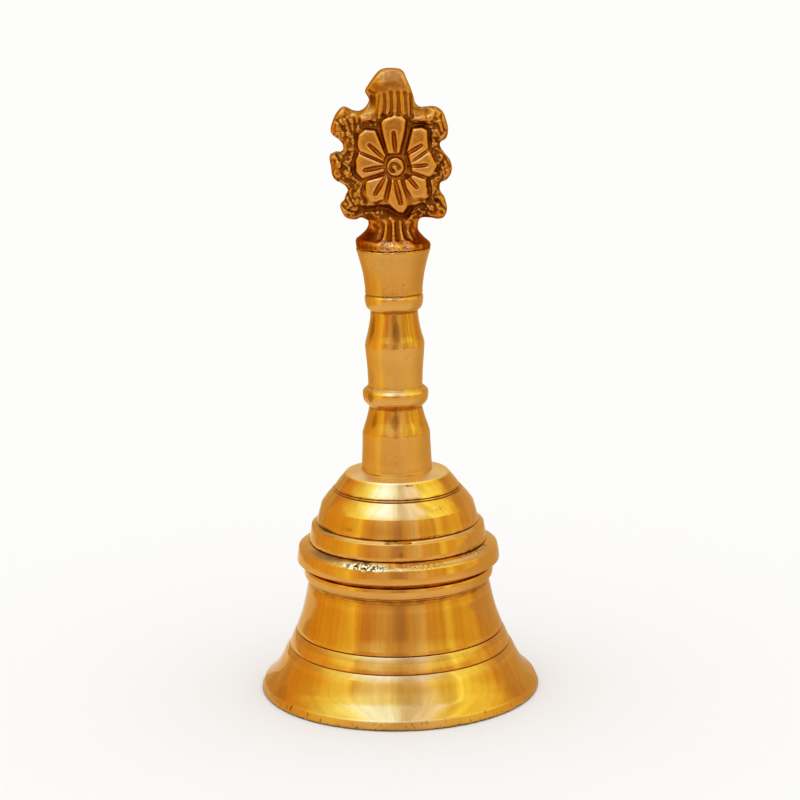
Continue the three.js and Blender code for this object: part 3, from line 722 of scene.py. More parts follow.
# darkening of the neck, the lower leaves, the knob's left side, the side walls and the boss's pit: partly grime, partly
# painted shade
soot = (0.90 - 0.16 * np.exp(-((fc[:, 0] - 0.5) / 4.5) ** 2)) * smoothstep(-fc[:, 2], -131.5, -129.5) * (1 - toe)
soot = np.maximum(soot, from_plan(np.maximum(0.85 * bump(11.4, 132.9, 3.6, 3.2), np.maximum(0.90 * bump(-10.6, 134.4, 3.4, 4.2), 0.75 * bump(0.8, 130.6, 7.5, 1.9)))) * (1 - petal_top))
soot = np.maximum(soot, from_plan(np.maximum(1.2 * bump(-5.9, 161.8, 2.4, 2.6), 0.55 * bump(-8.0, 160.5, 2.5, 2.0))) * (1 - petal_top))
soot = np.maximum(soot, 0.72 * (1 - on_face) * smoothstep(fc[:, 2], 130.0, 132.0))
soot = np.maximum(soot, from_plan(np.minimum(1.0, 1.25 * bump(-0.05, 142.55, 1.15, 0.62) + 0.55 * arc)) * on_face)
add_float(finial, "soot", soot)
add_float(finial, "toe", toe - smoothstep(-fc[:, 2], -124.9, -124.0) * smoothstep(np.abs(fc[:, 0] - 0.3), 3.8, 6.6))


# ------------------------------------------------------------------ fittings inside
def grid_field(lo, hi, h):
    ax = [np.arange(lo[m], hi[m] + h, h) for m in range(3)]
    return ax, np.meshgrid(*ax, indexing="ij")


def smin(a, b, k):
    return np.minimum(a, b) - np.maximum(k - np.abs(a - b), 0) ** 2 / (4 * k)


# eye bolt: threaded shank bent into a closed eye
h0 = 0.15
axes, (X, Y, Z) = grid_field((-5.7, -2.9, 38.6), (5.7, 2.9, 75.4), h0)
rad = np.hypot(X, Y)
theta = np.arctan2(Y, X)
pitch = 0.8
wave = np.abs(((Z / pitch - theta / (2 * math.pi)) % 1.0) * 2 - 1)
cut = smoothstep(Z, 50.0, 51.0) * smoothstep(-Z, -74.9, -74.2)
shank = np.maximum(rad - (2.48 - 0.46 * cut * smoothstep(wave, 0.12, 0.92)), np.maximum(48.2 - Z, Z - 74.95))
shank = np.maximum(shank, (rad + Z - (2.5 + 74.3)) * 0.707)
neck = np.maximum(rad - 2.0, np.maximum(46.9 - Z, Z - 50.2))
er = np.hypot(X, Z - 44.2)
ring = np.hypot(er - 4.0, Y) - 1.16
ring = ring + 0.03 * np.cos(3 * np.arctan2(X, Z - 44.2))
f = smin(smin(ring, neck, 1.1), shank, 0.5)
slit = np.maximum(np.abs((X - 1.3) * 0.85 + (Z - 47.5) * 0.52) - 0.16, np.hypot(X - 1.5, Z - 47.2) - 1.6)
slit = np.maximum(slit, 0.35 - np.abs(Y))
f = np.maximum(f, -slit)
v, q = surface_nets(f, [a[0] for a in axes], h0)
eye = mesh_object("eye_bolt_threaded", v, q)
add_float(eye, "cav", cavity(eye, 4, 0.12))

# clapper rod: wire bent into an eye at the top and riveted over under the ball
axes, (X, Y, Z) = grid_field((-5.3, -3.1, 1.6), (5.3, 3.1, 38.3), h0)
er = np.hypot(X, Z - 32.8)
ang = np.degrees(np.arctan2(X, -(Z - 32.8)))
ring = np.hypot(er - 3.5, Y) - 1.08
bow = 0.10 * np.sin((Z - 4.0) / 27.0 * math.pi)
stem = np.maximum(np.hypot(X - bow, Y) - (1.48 + 0.03 * np.sin(Z * 1.9)), np.maximum(2.9 - Z, Z - 29.6))
f = smin(ring, stem, 0.8)
nick = np.maximum(np.abs((X - 1.75) * 0.8 + (Z - 29.2) * 0.6) - 0.14, np.hypot(X - 1.75, Z - 29.3) - 1.5)
f = np.maximum(f, -nick)
for zc in (23.6, 25.1, 26.6):
    f = np.maximum(f, -(np.hypot(np.hypot(X, Y) - 1.62, Z - zc) - 0.16))
head = np.hypot(X, Y) / 2.55
f = smin(f, np.maximum((head - 1.0) * 2.4, np.abs(Z - 2.72) - 0.62 * np.sqrt(np.clip(1.12 - head ** 2, 0.02, 1))), 0.25)
v, q = surface_nets(f, [a[0] for a in axes], h0)
rod = mesh_object("clapper_rod_bent", v, q)
add_float(rod, "cav", cavity(rod, 4, 0.12))

# ring between the eye bolt and the rod, with its brazed joint
segs, sides = 132, 26
verts, faces = [], []
for i in range(segs):
    a = i / segs * 2 * math.pi
    c = np.array([0.0, 4.5 * math.cos(a), 38.3 + 4.5 * math.sin(a)])
    n = np.array([0.0, math.cos(a), math.sin(a)])
    d = (a - 0.35) * 4.5
    w = 1.05 + 0.045 * math.exp(-(abs(d) - 0.55) ** 2 / 0.06) - 0.09 * math.exp(-(d / 0.14) ** 2)
    for j in range(sides):
        b = j / sides * 2 * math.pi
        verts.append(c + w * (math.cos(b) * n + math.sin(b) * np.array([1.0, 0.0, 0.0])))
    for j in range(sides):
        k = (j + 1) % sides
        p = (i + 1) % segs
        faces.append((i * sides + j, p * sides + j, p * sides + k, i * sides + k))
link = mesh_object("clapper_link_brazed", verts, faces)
add_float(link, "cav", cavity(link, 4, 0.10))

# washer, hexagon nut
washer = revolve("crown_washer_stamped", section([
    (2.95, 55.72, "c"), (3.1, 55.62), (5.75, 55.62, "c"), (5.97, 55.85, "c"), (5.97, 56.5), (5.8, 56.68, "c"), (3.0, 56.68, "c"), (2.95, 56.6, "c")], True, sigma=0.05), 128, True)
add_float(washer, "cav", cavity(washer, 3, 0.10))


def hexagon(r, z, a, i):
    if r[0] > 3.4:
        flat = 3.98 / np.cos((a + math.pi / 6) % (math.pi / 3) - math.pi / 6)
        cone = 4.02 + np.minimum(z - 51.3, 55.3 - z) * 1.75
        r = np.minimum(r, np.minimum(flat, np.maximum(cone, 3.9)))
    return r, z


nut_side = [(4.62, z) for z in np.linspace(51.32, 55.28, 22)]
nut_line = np.array([(2.82, 51.75), (3.25, 51.32), (3.9, 51.31), (4.2, 51.31)] + nut_side + [(4.2, 55.29), (3.9, 55.29), (3.25, 55.28), (2.82, 54.85), (2.82, 53.3)])
nut = revolve("crown_nut_hexagon", nut_line, 240, True, hexagon)
add_float(nut, "cav", cavity(nut, 3, 0.10))

# clapper ball, turned, with a short neck round the rod
ball_items = [(1.82, 21.0, "c"), (2.3, 21.2), (2.6, 21.0, "c"), (2.6, 20.3), (2.72, 19.85, "c")]
for d in np.linspace(19.0, 160.0, 26):
    t = math.radians(d)
    ball_items.append((8.48 * math.sin(t), 11.5 + 8.48 * math.cos(t)))
ball_items += [(2.66, 3.55, "c"), (1.82, 3.62, "c")]
BALL = section(ball_items, True, sigma=0.06, longest=0.5)


def ball_move(r, z, a, i):
    if r[0] > 3.0:
        ring = np.stack([np.cos(a) * r, np.sin(a) * r, z], axis=1)
        n = lattice_noise(ring, 3.2, 71)
        groove = 0.05 * math.exp(-((z[0] - 14.6) / 0.16) ** 2) + 0.05 * math.exp(-((z[0] - 8.4) / 0.16) ** 2)
        side = 0.10 * math.exp(-((z[0] - 11.0) / 1.5) ** 2) * np.maximum(0, np.cos(2 * a)) ** 24
        r = r * (1 - 0.004 * np.maximum(0, n)) - groove - side
    return r, z


ball = revolve("clapper_ball_turned", BALL, 168, True, ball_move)
add_float(ball, "cav", cavity(ball, 4, 0.10))

for piece, body, node, slot in (
    (shell, "bell", "bell_shell", "bell_brass"), (grip, "bell", "handle_grip", "handle_brass"),
    (finial, "bell", "flower_finial", "finial_brass"), (eye, "bell", "eye_bolt", "fitting_steel"),
    (washer, "bell", "crown_washer", "fitting_steel"), (nut, "bell", "crown_nut", "fitting_steel"),
    (link, "link", "clapper_link", "wire_brass"), (rod, "clapper", "clapper_rod", "wire_brass"),
    (ball, "clapper", "clapper_ball", "clapper_brass"),
):
    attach(piece, body)
    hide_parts(node)


# ------------------------------------------------------------------ materials
class Nodes:
    def __init__(self, name=None, tree=None):
        if name:
            self.mat = bpy.data.materials.new(name)
            self.mat.use_nodes = True
            tree = self.mat.node_tree
        self.t = tree
        tree.nodes.clear()

    def new(self, kind, ins=None, **props):
        n = self.t.nodes.new(kind)
        for k, v in props.items():
            setattr(n, k, v)
        for k, v in (ins or {}).items():
            self.put(n.inputs[k], v)
        return n

    def put(self, socket, v):
        if hasattr(v, "links") or hasattr(v, "is_output"):
            self.t.links.new(v, socket)
        else:
            socket.default_value = v

    def math(self, op, a, b=None, c=None, clamp=False):
        n = self.new("ShaderNodeMath", operation=op, use_clamp=clamp)
        for i, v in enumerate((a, b, c)):
            if v is not None:
                self.put(n.inputs[i], v)
        return n.outputs[0]

    def ramp(self, x, a, b, lo=0.0, hi=1.0):
        n = self.new("ShaderNodeMapRange", interpolation_type="SMOOTHSTEP")
        for k, v in (("Value", x), ("From Min", a), ("From Max", b), ("To Min", lo), ("To Max", hi)):
            self.put(n.inputs[k], v)
        return n.outputs["Result"]

    def mix(self, fac, a, b, mode="MIX"):
        n = self.new("ShaderNodeMix", data_type="RGBA", blend_type=mode)
        self.put(n.inputs[0], fac)
        self.put(n.inputs[6], a)
        self.put(n.inputs[7], b)
        return n.outputs[2]

    def attr(self, name):
        return self.new("ShaderNodeAttribute", attribute_name=name, attribute_type="GEOMETRY").outputs["Fac"]

    def noise(self, vec, scale, detail=2.0, rough=0.5, w=None, distortion=0.0):
        n = self.new("ShaderNodeTexNoise", noise_dimensions="4D" if w is not None else "3D")
        self.put(n.inputs["Vector"], vec)
        n.inputs["Scale"].default_value = scale
        n.inputs["Detail"].default_value = detail
        n.inputs["Roughness"].default_value = rough
        n.inputs["Distortion"].default_value = distortion
        if w is not None:
            self.put(n.inputs["W"], w)
        return n.outputs["Fac"]

    def vec(self, x, y, z):
        n = self.new("ShaderNodeCombineXYZ")
        for i, v in enumerate((x, y, z)):
            self.put(n.inputs[i], v)
        return n.outputs[0]


def cylinder_coords(m):
    """Object place, unit direction from the axis (x, y), radius and height in metres."""
    c = m.new("ShaderNodeTexCoord").outputs["Object"]
    s = m.new("ShaderNodeSeparateXYZ", {0: c})
    x, y, z = s.outputs
    r = m.math("SQRT", m.math("ADD", m.math("MULTIPLY", x, x), m.math("ADD", m.math("MULTIPLY", y, y), 1e-10)))
    return c, m.math("DIVIDE", x, r), m.math("DIVIDE", y, r), r, z


def turned_brass(name, base, shade, rough, bloom=0.5, aniso=0.6, inside=None, stain=0.5, rim=False, patina=(0.085, 0.032, 0.008, 1), lines=(), spots=(), brushed=()):
    m = Nodes(name)
    c, dx, dy, r, z = cylinder_coords(m)

    def rings(turns, kz, detail=2.0, rough_=0.55):
        v = m.vec(m.math("MULTIPLY", dx, turns), m.math("MULTIPLY", dy, turns), m.math("MULTIPLY", z, kz))
        return m.noise(v, 1.0, detail, rough_, w=m.math("MULTIPLY", r, kz))

    fine = rings(2.2, 5200.0, 3.0)
    mid = rings(1.3, 1500.0, 2.0)
    wave = rings(2.6, 90.0, 2.0, 0.5)
    streak = m.noise(m.vec(m.math("MULTIPLY", dx, 9.0), m.math("MULTIPLY", dy, 9.0), m.math("MULTIPLY", z, 38.0)), 1.0, 3.0, 0.6)
    blotch = m.noise(c, 120.0, 4.0, 0.6)
    grime = m.noise(c, 420.0, 4.0, 0.65)
    speck = m.noise(c, 2600.0, 2.0, 0.5)
    pit = m.noise(c, 1150.0, 2.0, 0.5)
    cav = m.attr("cav")
    groove = m.ramp(cav, 0.10, 0.60)
    edge = m.ramp(cav, -0.08, -0.45)
    groove = m.math("MULTIPLY", groove, m.ramp(grime, 0.25, 0.62, 0.72, 1.0))
    tone = m.ramp(m.math("ADD", m.math("MULTIPLY", blotch, 0.6), m.math("MULTIPLY", streak, 0.4)), 0.40, 0.64)
    col = m.mix(tone, base, shade)
    col = m.mix(m.math("MULTIPLY", m.ramp(mid, 0.52, 0.72), 0.22), col, shade)
    col = m.mix(m.math("MULTIPLY", m.ramp(grime, 0.60, 0.78), 0.55 * stain), col, (0.30, 0.125, 0.026, 1))
    col = m.mix(m.math("MULTIPLY", m.ramp(speck, 0.70, 0.78), 0.55 * stain), col, (0.16, 0.06, 0.015, 1))
    col = m.mix(m.math("MULTIPLY", edge, 0.35), col, (0.80, 0.43, 0.11, 1))
    worn = 0.0
    for z0, z1, r1, much, wander, tint in brushed:
        # brushed areas: between two heights (mm), inside a radius, with an edge that wanders
        zq = m.math("ADD", z, m.math("MULTIPLY", m.math("SUBTRACT", m.noise(m.vec(m.math("MULTIPLY", dx, 2.2), m.math("MULTIPLY", dy, 2.2), 3.0), 1.0, 1.0, 0.4), 0.5), wander * MM))
        on = m.math("MULTIPLY", m.math("MULTIPLY", m.ramp(zq, (z0 - 0.1) * MM, (z0 + 0.1) * MM), m.ramp(zq, (z1 + 0.1) * MM, (z1 - 0.1) * MM)), m.ramp(r, (r1 + 0.15) * MM, (r1 - 0.15) * MM))
        worn = m.math("ADD", worn, m.math("MULTIPLY", on, much))
        col = m.mix(m.math("MULTIPLY", on, m.ramp(blotch, 0.35, 0.6, 0.85, 0.55)), col, tint)
    if lines:
        # dark turned lines, partly dirt packed into the grooves and partly painted shade under the flange, bead, ledges
        # and collars: radius, height, width (mm), strength
        groove, mark = 0.0, 0.0
        here = m.vec(r, z, 0.0)
        thick = m.noise(m.vec(m.math("MULTIPLY", dx, 3.2), m.math("MULTIPLY", dy, 3.2), m.math("MULTIPLY", z, 60.0)), 1.0, 4.0, 0.65)
        thick = m.ramp(thick, 0.36, 0.62, 0.55, 2.0)
        for r0, z0, wide, strong in lines:
            far = m.new("ShaderNodeVectorMath", {0: here, 1: (r0 * MM, z0 * MM, 0.0)}, operation="DISTANCE").outputs["Value"]
            far = m.math("DIVIDE", far, thick)
            groove = m.math("MAXIMUM", groove, m.ramp(far, wide * 1.5 * MM, wide * 0.30 * MM, 0.0, strong))
        turn = m.math("MULTIPLY", m.math("ARCTAN2", dx, m.math("MULTIPLY", dy, -1.0)), 180.0 / math.pi)
        ragged = m.math("SUBTRACT", m.math("MULTIPLY", grime, 0.9), 0.45)
        for a0, wa, z0, wz, strong, grain in spots:
            # dark patches: azimuth and half width (degrees), height and half height (mm), strength, grain threshold
            e1 = m.math("DIVIDE", m.math("SUBTRACT", turn, a0), wa)
            e2 = m.math("DIVIDE", m.math("SUBTRACT", z, z0 * MM), wz * MM)
            d2 = m.math("SQRT", m.math("ADD", m.math("MULTIPLY", e1, e1), m.math("MULTIPLY", e2, e2)))
            mask = m.ramp(m.math("ADD", d2, ragged), 1.15, 0.45, 0.0, strong)
            # round the strongest pitted patch the colour is lightened: partly wear, partly painted highlight
            if grain is not None and grain < 0 and strong >= 1.0:
                col = m.mix(m.ramp(m.math("ADD", d2, m.math("MULTIPLY", ragged, 0.6)), 1.05, 0.55, 0.0, 0.95), col, (1.0, 0.80, 0.42, 1))
            if grain is not None:
                mask = m.math("MULTIPLY", mask, m.ramp(speck, grain, grain + 0.07) if grain > 0 else m.ramp(pit, -grain, 0.05 - grain))
            mark = m.math("MAXIMUM", mark, mask)
    if lines:
        # dark colour of the turned lines: dirt, with painted shade under the flange, bead, ledges and collars
        col = m.mix(m.math("MULTIPLY", groove, 0.92), col, m.mix(m.ramp(grime, 0.40, 0.62), (0.47, 0.155, 0.017, 1), (0.27, 0.082, 0.009, 1)))
        col = m.mix(mark, col, m.mix(m.ramp(grime, 0.40, 0.60), (0.20, 0.075, 0.015, 1), (0.050, 0.020, 0.006, 1)))
        groove = m.math("MAXIMUM", groove, mark)
    else:
        col = m.mix(m.math("MULTIPLY", groove, 0.88), col, patina)
    rgh = m.math("ADD", rough, m.math("MULTIPLY", m.ramp(fine, 0.35, 0.75), 0.025))
    rgh = m.math("ADD", rgh, m.math("MULTIPLY", m.ramp(blotch, 0.45, 0.75), 0.035))
    rgh = m.math("ADD", rgh, worn)
    rgh = m.math("ADD", rgh, m.math("MULTIPLY", groove, 0.26))
    rgh = m.math("ADD", rgh, m.math("MULTIPLY", m.ramp(speck, 0.62, 0.75), 0.10 * stain))
    height = m.math("ADD", m.math("MULTIPLY", fine, 0.35), m.math("MULTIPLY", mid, 0.45))
    if inside:
        w = m.attr("inside")
        cast = m.noise(c, 900.0, 5.0, 0.65)
        col = m.mix(m.math("MULTIPLY", w, 0.85), col, m.mix(m.ramp(cast, 0.35, 0.68), (0.50, 0.235, 0.055, 1), (0.26, 0.115, 0.032, 1)))
        rgh = m.math("ADD", rgh, m.math("MULTIPLY", w, m.ramp(cast, 0.3, 0.7, 0.14, 0.26)))
        height = m.math("ADD", height, m.math("MULTIPLY", m.math("MULTIPLY", cast, w), 2.2))
    if rim:
        coil = m.math("SINE", m.math("ADD", m.math("MULTIPLY", turn, 4.4), m.math("MULTIPLY", z, 3800.0)))
        band = m.math("MULTIPLY", m.math("MULTIPLY", m.ramp(z, 0.01505, 0.01530), m.ramp(z, 0.01665, 0.01640)), m.ramp(m.math("ABSOLUTE", turn), 52.0, 22.0))
        band = m.math("MULTIPLY", band, m.ramp(coil, -0.2, 0.9))
        col = m.mix(m.math("MULTIPLY", band, 0.30), col, (0.30, 0.115, 0.02, 1))
        height = m.math("ADD", height, m.math("MULTIPLY", band, 2.0))
        low = m.math("MULTIPLY", m.ramp(z, 0.0025, 0.0021), m.ramp(r, 0.0340, 0.0350))
        bite = m.noise(m.vec(m.math("MULTIPLY", dx, 34.0), m.math("MULTIPLY", dy, 34.0), m.math("MULTIPLY", z, 480.0)), 1.0, 4.0, 0.7)
        col = m.mix(m.math("MULTIPLY", low, 0.75), col, (0.63, 0.295, 0.062, 1))
        col = m.mix(m.math("MULTIPLY", low, m.ramp(bite, 0.58, 0.68, 0.0, 0.85)), col, (0.16, 0.055, 0.012, 1))
        frayed = m.math("MULTIPLY", m.ramp(m.math("ADD", z, m.math("MULTIPLY", m.math("SUBTRACT", bite, 0.5), 0.0012)), 0.00045, 0.00015), m.ramp(r, 0.0340, 0.0350))
        col = m.mix(m.math("MULTIPLY", frayed, 0.8), col, (0.14, 0.048, 0.010, 1))
        rgh = m.math("ADD", rgh, m.math("MULTIPLY", low, 0.22))
        height = m.math("ADD", height, m.math("MULTIPLY", m.math("MULTIPLY", bite, low), 2.5))
    b1 = m.new("ShaderNodeBump", {"Strength": 0.5, "Distance": 0.0000022, "Height": height})
    b2 = m.new("ShaderNodeBump", {"Strength": 0.5, "Distance": 0.00045 * bloom, "Height": wave, "Normal": b1.outputs[0]})
    b3 = m.new("ShaderNodeBump", {"Strength": 0.5, "Distance": 0.00012 * bloom, "Height": streak, "Normal": b2.outputs[0]})
    tan = m.new("ShaderNodeTangent", direction_type="RADIAL", axis="Z")
    p = m.new("ShaderNodeBsdfPrincipled", {"Base Color": col, "Metallic": 1.0, "Roughness": rgh, "Normal": b3.outputs[0], "Tangent": tan.outputs[0]})
    p.inputs["Specular Tint"].default_value = (0.97, 0.84, 0.62, 1)
    p.inputs["Anisotropic"].default_value = aniso
    p.inputs["Anisotropic Rotation"].default_value = 0.25
    m.new("ShaderNodeOutputMaterial", {"Surface": p.outputs[0]})
    return m.mat


def cast_brass(name):
    m = Nodes(name)
    c = m.new("ShaderNodeTexCoord").outputs["Object"]
    cav, fine, polish, dull = m.attr("cav"), m.attr("fine"), m.attr("polish"), m.attr("dull")
    cloud = m.noise(c, 190.0, 4.0, 0.6)
    grain = m.noise(c, 1300.0, 4.0, 0.6)
    grit = m.noise(c, 3600.0, 2.0, 0.5)
    worm = m.noise(c, 520.0, 3.0, 0.55, distortion=1.0)
    fleck = m.noise(c, 1900.0, 3.0, 0.6)
    dirt = m.math("ADD", m.math("ADD", cav, m.math("MULTIPLY", m.math("SUBTRACT", worm, 0.5), 0.35)), m.math("MULTIPLY", m.math("SUBTRACT", cloud, 0.5), 0.45))
    dirt = m.math("ADD", dirt, m.math("MULTIPLY", dull, 0.10))
    deep = m.ramp(dirt, 0.18, 0.80)
    mid = m.ramp(dirt, -0.20, 0.32)
    crest = m.ramp(m.math("SUBTRACT", m.math("MULTIPLY", fine, -1.0), m.math("MULTIPLY", cav, 0.25)), 0.12, 0.6)
    col = m.mix(m.ramp(cloud, 0.38, 0.66), (0.585, 0.272, 0.054, 1), (0.53, 0.220, 0.035, 1))
    up = m.new("ShaderNodeSeparateXYZ", {0: c}).outputs[2]
    # above about 145 mm the colour turns a deeper orange: painted shade standing in for the upper petals' lean
    col = m.mix(m.ramp(up, 0.1425, 0.1500, 0.0, 0.8), col, (0.555, 0.228, 0.029, 1))
    col = m.mix(m.ramp(up, 0.1620, 0.1655, 0.0, 0.7), col, (0.455, 0.190, 0.040, 1))
    col = m.mix(m.math("MULTIPLY", mid, 0.62), col, (0.44, 0.155, 0.015, 1))
    col = m.mix(m.math("MULTIPLY", m.ramp(grain, 0.58, 0.74), 0.28), col, (0.33, 0.125, 0.022, 1))
    col = m.mix(m.math("MULTIPLY", dull, m.ramp(cloud, 0.3, 0.65, 0.70, 0.95)), col, m.mix(m.ramp(worm, 0.38, 0.62), (0.50, 0.141, 0.007, 1), (0.30, 0.075, 0.004, 1)))
    col = m.mix(m.math("MULTIPLY", deep, 0.80), col, m.mix(dull, (0.34, 0.112, 0.011, 1), (0.16, 0.042, 0.004, 1)))
    # ridges lightened: partly wear, partly painted highlight
    col = m.mix(m.math("MULTIPLY", crest, 0.60), col, (0.75, 0.365, 0.078, 1))
    col = m.mix(m.math("MULTIPLY", m.math("MULTIPLY", dull, m.ramp(fleck, 0.55, 0.63)), 0.50), col, (0.17, 0.046, 0.003, 1))
    col = m.mix(m.math("MULTIPLY", m.ramp(up, 0.1325, 0.1300), 0.85), col, m.mix(1.0, col, (0.98, 0.74, 0.42, 1), "MULTIPLY"))
    # the foot's sides beside the toe are darkened
    col = m.mix(m.math("MULTIPLY", m.ramp(m.attr("toe"), 0.0, -1.0), m.ramp(worm, 0.60, 0.42, 0.35, 0.9)), col, (0.24, 0.056, 0.006, 1))
    # lighter patch on the toe of the foot: partly wear, partly painted highlight
    worn = m.math("MULTIPLY", m.ramp(m.attr("toe"), 0.0, 1.0), m.ramp(fleck, 0.56, 0.46))
    col = m.mix(m.math("MULTIPLY", worn, 0.8), col, (0.75, 0.41, 0.15, 1))
    # faces turned upward are tinted redder and darker by which way they face: painted shade that warms the overhead
    # light's reflection
    nz = m.new("ShaderNodeSeparateXYZ", {0: m.new("ShaderNodeNewGeometry").outputs["Normal"]}).outputs[2]
    col = m.mix(m.math("MULTIPLY", m.ramp(nz, 0.12, 0.60), 0.85), col, m.mix(1.0, col, (1.0, 0.76, 0.60, 1), "MULTIPLY"))
    # darker colour from the attribute set above (neck, lower leaves, knob's left, side walls, boss pit): partly grime,
    # partly painted shade
    grime_and_shade_mix = m.math("MULTIPLY", m.attr("soot"), m.ramp(m.math("ADD", m.math("MULTIPLY", worm, 0.5), m.math("MULTIPLY", cloud, 0.5)), 0.60, 0.40, 0.35, 1.0))
    grime_and_shade_mix = m.math("MULTIPLY", grime_and_shade_mix, m.ramp(fine, -0.30, -0.02, 0.25, 1.0))
    col = m.mix(grime_and_shade_mix, col, m.mix(m.ramp(up, 0.1345, 0.1310), (0.15, 0.034, 0.002, 1), (0.135, 0.021, 0.0008, 1)))
    rgh = m.math("ADD", 0.18, m.math("MULTIPLY", m.ramp(grain, 0.40, 0.75), 0.10))
    rgh = m.math("ADD", rgh, m.math("MULTIPLY", deep, 0.18))
    rgh = m.math("ADD", rgh, m.math("MULTIPLY", dull, m.ramp(crest, 0.0, 1.0, 0.12, 0.0)))
    rgh = m.math("ADD", rgh, m.math("MULTIPLY", m.ramp(cloud, 0.4, 0.7), 0.08))
    b1 = m.new("ShaderNodeBump", {"Strength": 0.5, "Distance": 0.000018, "Height": m.math("ADD", grain, m.math("MULTIPLY", grit, 0.3))})
    b2 = m.new("ShaderNodeBump", {"Strength": 0.5, "Distance": 0.00012, "Height": worm, "Normal": b1.outputs[0]})
    b2 = m.new("ShaderNodeBump", {"Strength": m.math("MULTIPLY", dull, 0.45), "Distance": 0.00010, "Height": fleck, "Normal": b2.outputs[0]})
    p = m.new("ShaderNodeBsdfPrincipled", {"Base Color": col, "Metallic": 1.0, "Roughness": rgh, "Normal": b2.outputs[0]})
    p.inputs["Specular Tint"].default_value = (0.84, 0.50, 0.22, 1)
    m.new("ShaderNodeOutputMaterial", {"Surface": p.outputs[0]})
    return m.mat


def plated_steel(name, axis_lines=True):
    m = Nodes(name)
    c, dx, dy, r, z = cylinder_coords(m)
    cloud = m.noise(c, 500.0, 4.0, 0.6)
    spangle = m.new("ShaderNodeTexVoronoi", {"Vector": c, "Scale": 2400.0}).outputs["Color"]
    bits = m.new("ShaderNodeSeparateColor", {0: spangle}).outputs[0]
    line = m.noise(m.vec(m.math("MULTIPLY", dx, 2.0), m.math("MULTIPLY", dy, 2.0), m.math("MULTIPLY", z, 5000.0)), 1.0, 2.0)
    cav = m.ramp(m.attr("cav"), 0.08, 0.55) if axis_lines else 0.0
    rust = m.ramp(m.noise(c, 1300.0, 5.0, 0.7), 0.60, 0.74)
    col = m.mix(m.ramp(cloud, 0.35, 0.68), (0.60, 0.58, 0.53, 1), (0.44, 0.41, 0.35, 1))
    col = m.mix(m.math("MULTIPLY", bits, 0.18), col, (0.72, 0.70, 0.66, 1))
    col = m.mix(m.math("MULTIPLY", rust, 0.45), col, (0.20, 0.095, 0.045, 1))
    col = m.mix(m.math("MULTIPLY", cav, 0.80), col, (0.075, 0.055, 0.040, 1))
    rgh = m.math("ADD", 0.26, m.math("MULTIPLY", m.ramp(cloud, 0.3, 0.7), 0.14))
    rgh = m.math("ADD", rgh, m.math("MULTIPLY", rust, 0.25))
    b1 = m.new("ShaderNodeBump", {"Strength": 0.5, "Distance": 0.00002, "Height": m.math("ADD", line, m.math("MULTIPLY", cloud, 1.5))})
    p = m.new("ShaderNodeBsdfPrincipled", {"Base Color": col, "Metallic": 1.0, "Roughness": rgh, "Normal": b1.outputs[0]})
    m.new("ShaderNodeOutputMaterial", {"Surface": p.outputs[0]})
    return m.mat


def drawn_wire(name):
    m = Nodes(name)
    c, dx, dy, r, z = cylinder_coords(m)
    cloud = m.noise(c, 420.0, 4.0, 0.6)
    scratch = m.noise(m.vec(m.math("MULTIPLY", dx, 26.0), m.math("MULTIPLY", dy, 26.0), m.math("MULTIPLY", z, 160.0)), 1.0, 3.0, 0.6)
    grime = m.ramp(m.noise(c, 1500.0, 4.0, 0.65), 0.54, 0.72)
    cav = m.ramp(m.attr("cav"), 0.10, 0.55)
    col = m.mix(m.ramp(cloud, 0.36, 0.66), (0.60, 0.29, 0.060, 1), (0.42, 0.18, 0.036, 1))
    col = m.mix(m.math("MULTIPLY", grime, 0.5), col, (0.17, 0.075, 0.024, 1))
    col = m.mix(m.math("MULTIPLY", cav, 0.85), col, (0.06, 0.026, 0.010, 1))
    rgh = m.math("ADD", 0.25, m.math("MULTIPLY", m.ramp(scratch, 0.35, 0.7), 0.18))
    b1 = m.new("ShaderNodeBump", {"Strength": 0.6, "Distance": 0.00003, "Height": m.math("ADD", scratch, m.math("MULTIPLY", grime, 0.5))})
    p = m.new("ShaderNodeBsdfPrincipled", {"Base Color": col, "Metallic": 1.0, "Roughness": rgh, "Normal": b1.outputs[0]})
    m.new("ShaderNodeOutputMaterial", {"Surface": p.outputs[0]})
    return m.mat


bell_lines = [(62.3, 208.8, 0.26, 0.9), (63.9, 206.9, 0.22, 0.7), (80.9, 173.3, 0.28, 0.92), (88.6, 153.6, 0.28, 0.85), (90.6, 128.9, 0.42, 0.92), (94.6, 128.0, 0.16, 0.6),
              (93.6, 115.9, 0.22, 0.75), (91.2, 113.7, 0.34, 0.95), (91.3, 111.6, 0.22, 0.7), (103.4, 62.3, 0.21, 0.75), (110.9, 46.0, 0.21, 0.75)]
bell_lines = [(r0 * U, z0 * U, wide, strong) for r0, z0, wide, strong in bell_lines]
bell_spots = [(12, 6.5, 59.70, 0.28, 0.9, 0.42), (-20, 17, 40.50, 0.90, 1.0, -0.475), (64, 14, 41.7, 0.9, 0.9, -0.55), (2, 1.6, 43.4, 0.9, 0.45, None), (-37, 4, 48.7, 0.6, 0.7, 0.50), (35, 8, 53.6, 0.9, 0.45, 0.52),
              (-50, 20, 41.25, 0.85, 0.68, None), (-25, 12, 41.30, 0.30, 0.60, None), (-62, 15, 47.05, 0.62, 0.85, None), (17, 16, 40.75, 0.7, 0.85, 0.50),
              (56, 20, 41.6, 1.0, 0.85, 0.50), (-4, 9, 46.75, 0.28, 0.9, 0.36), (27, 12, 47.2, 0.40, 0.85, 0.46), (-14, 60, 40.4, 1.4, 0.5, 0.62),
              (52, 5, 45.2, 1.5, 0.5, 0.56), (-60, 8, 20.5, 2.5, 0.45, 0.58), (30, 30, 50.5, 2.4, 0.5, 0.64), (-25, 30, 50.5, 2.4, 0.5, 0.66)]
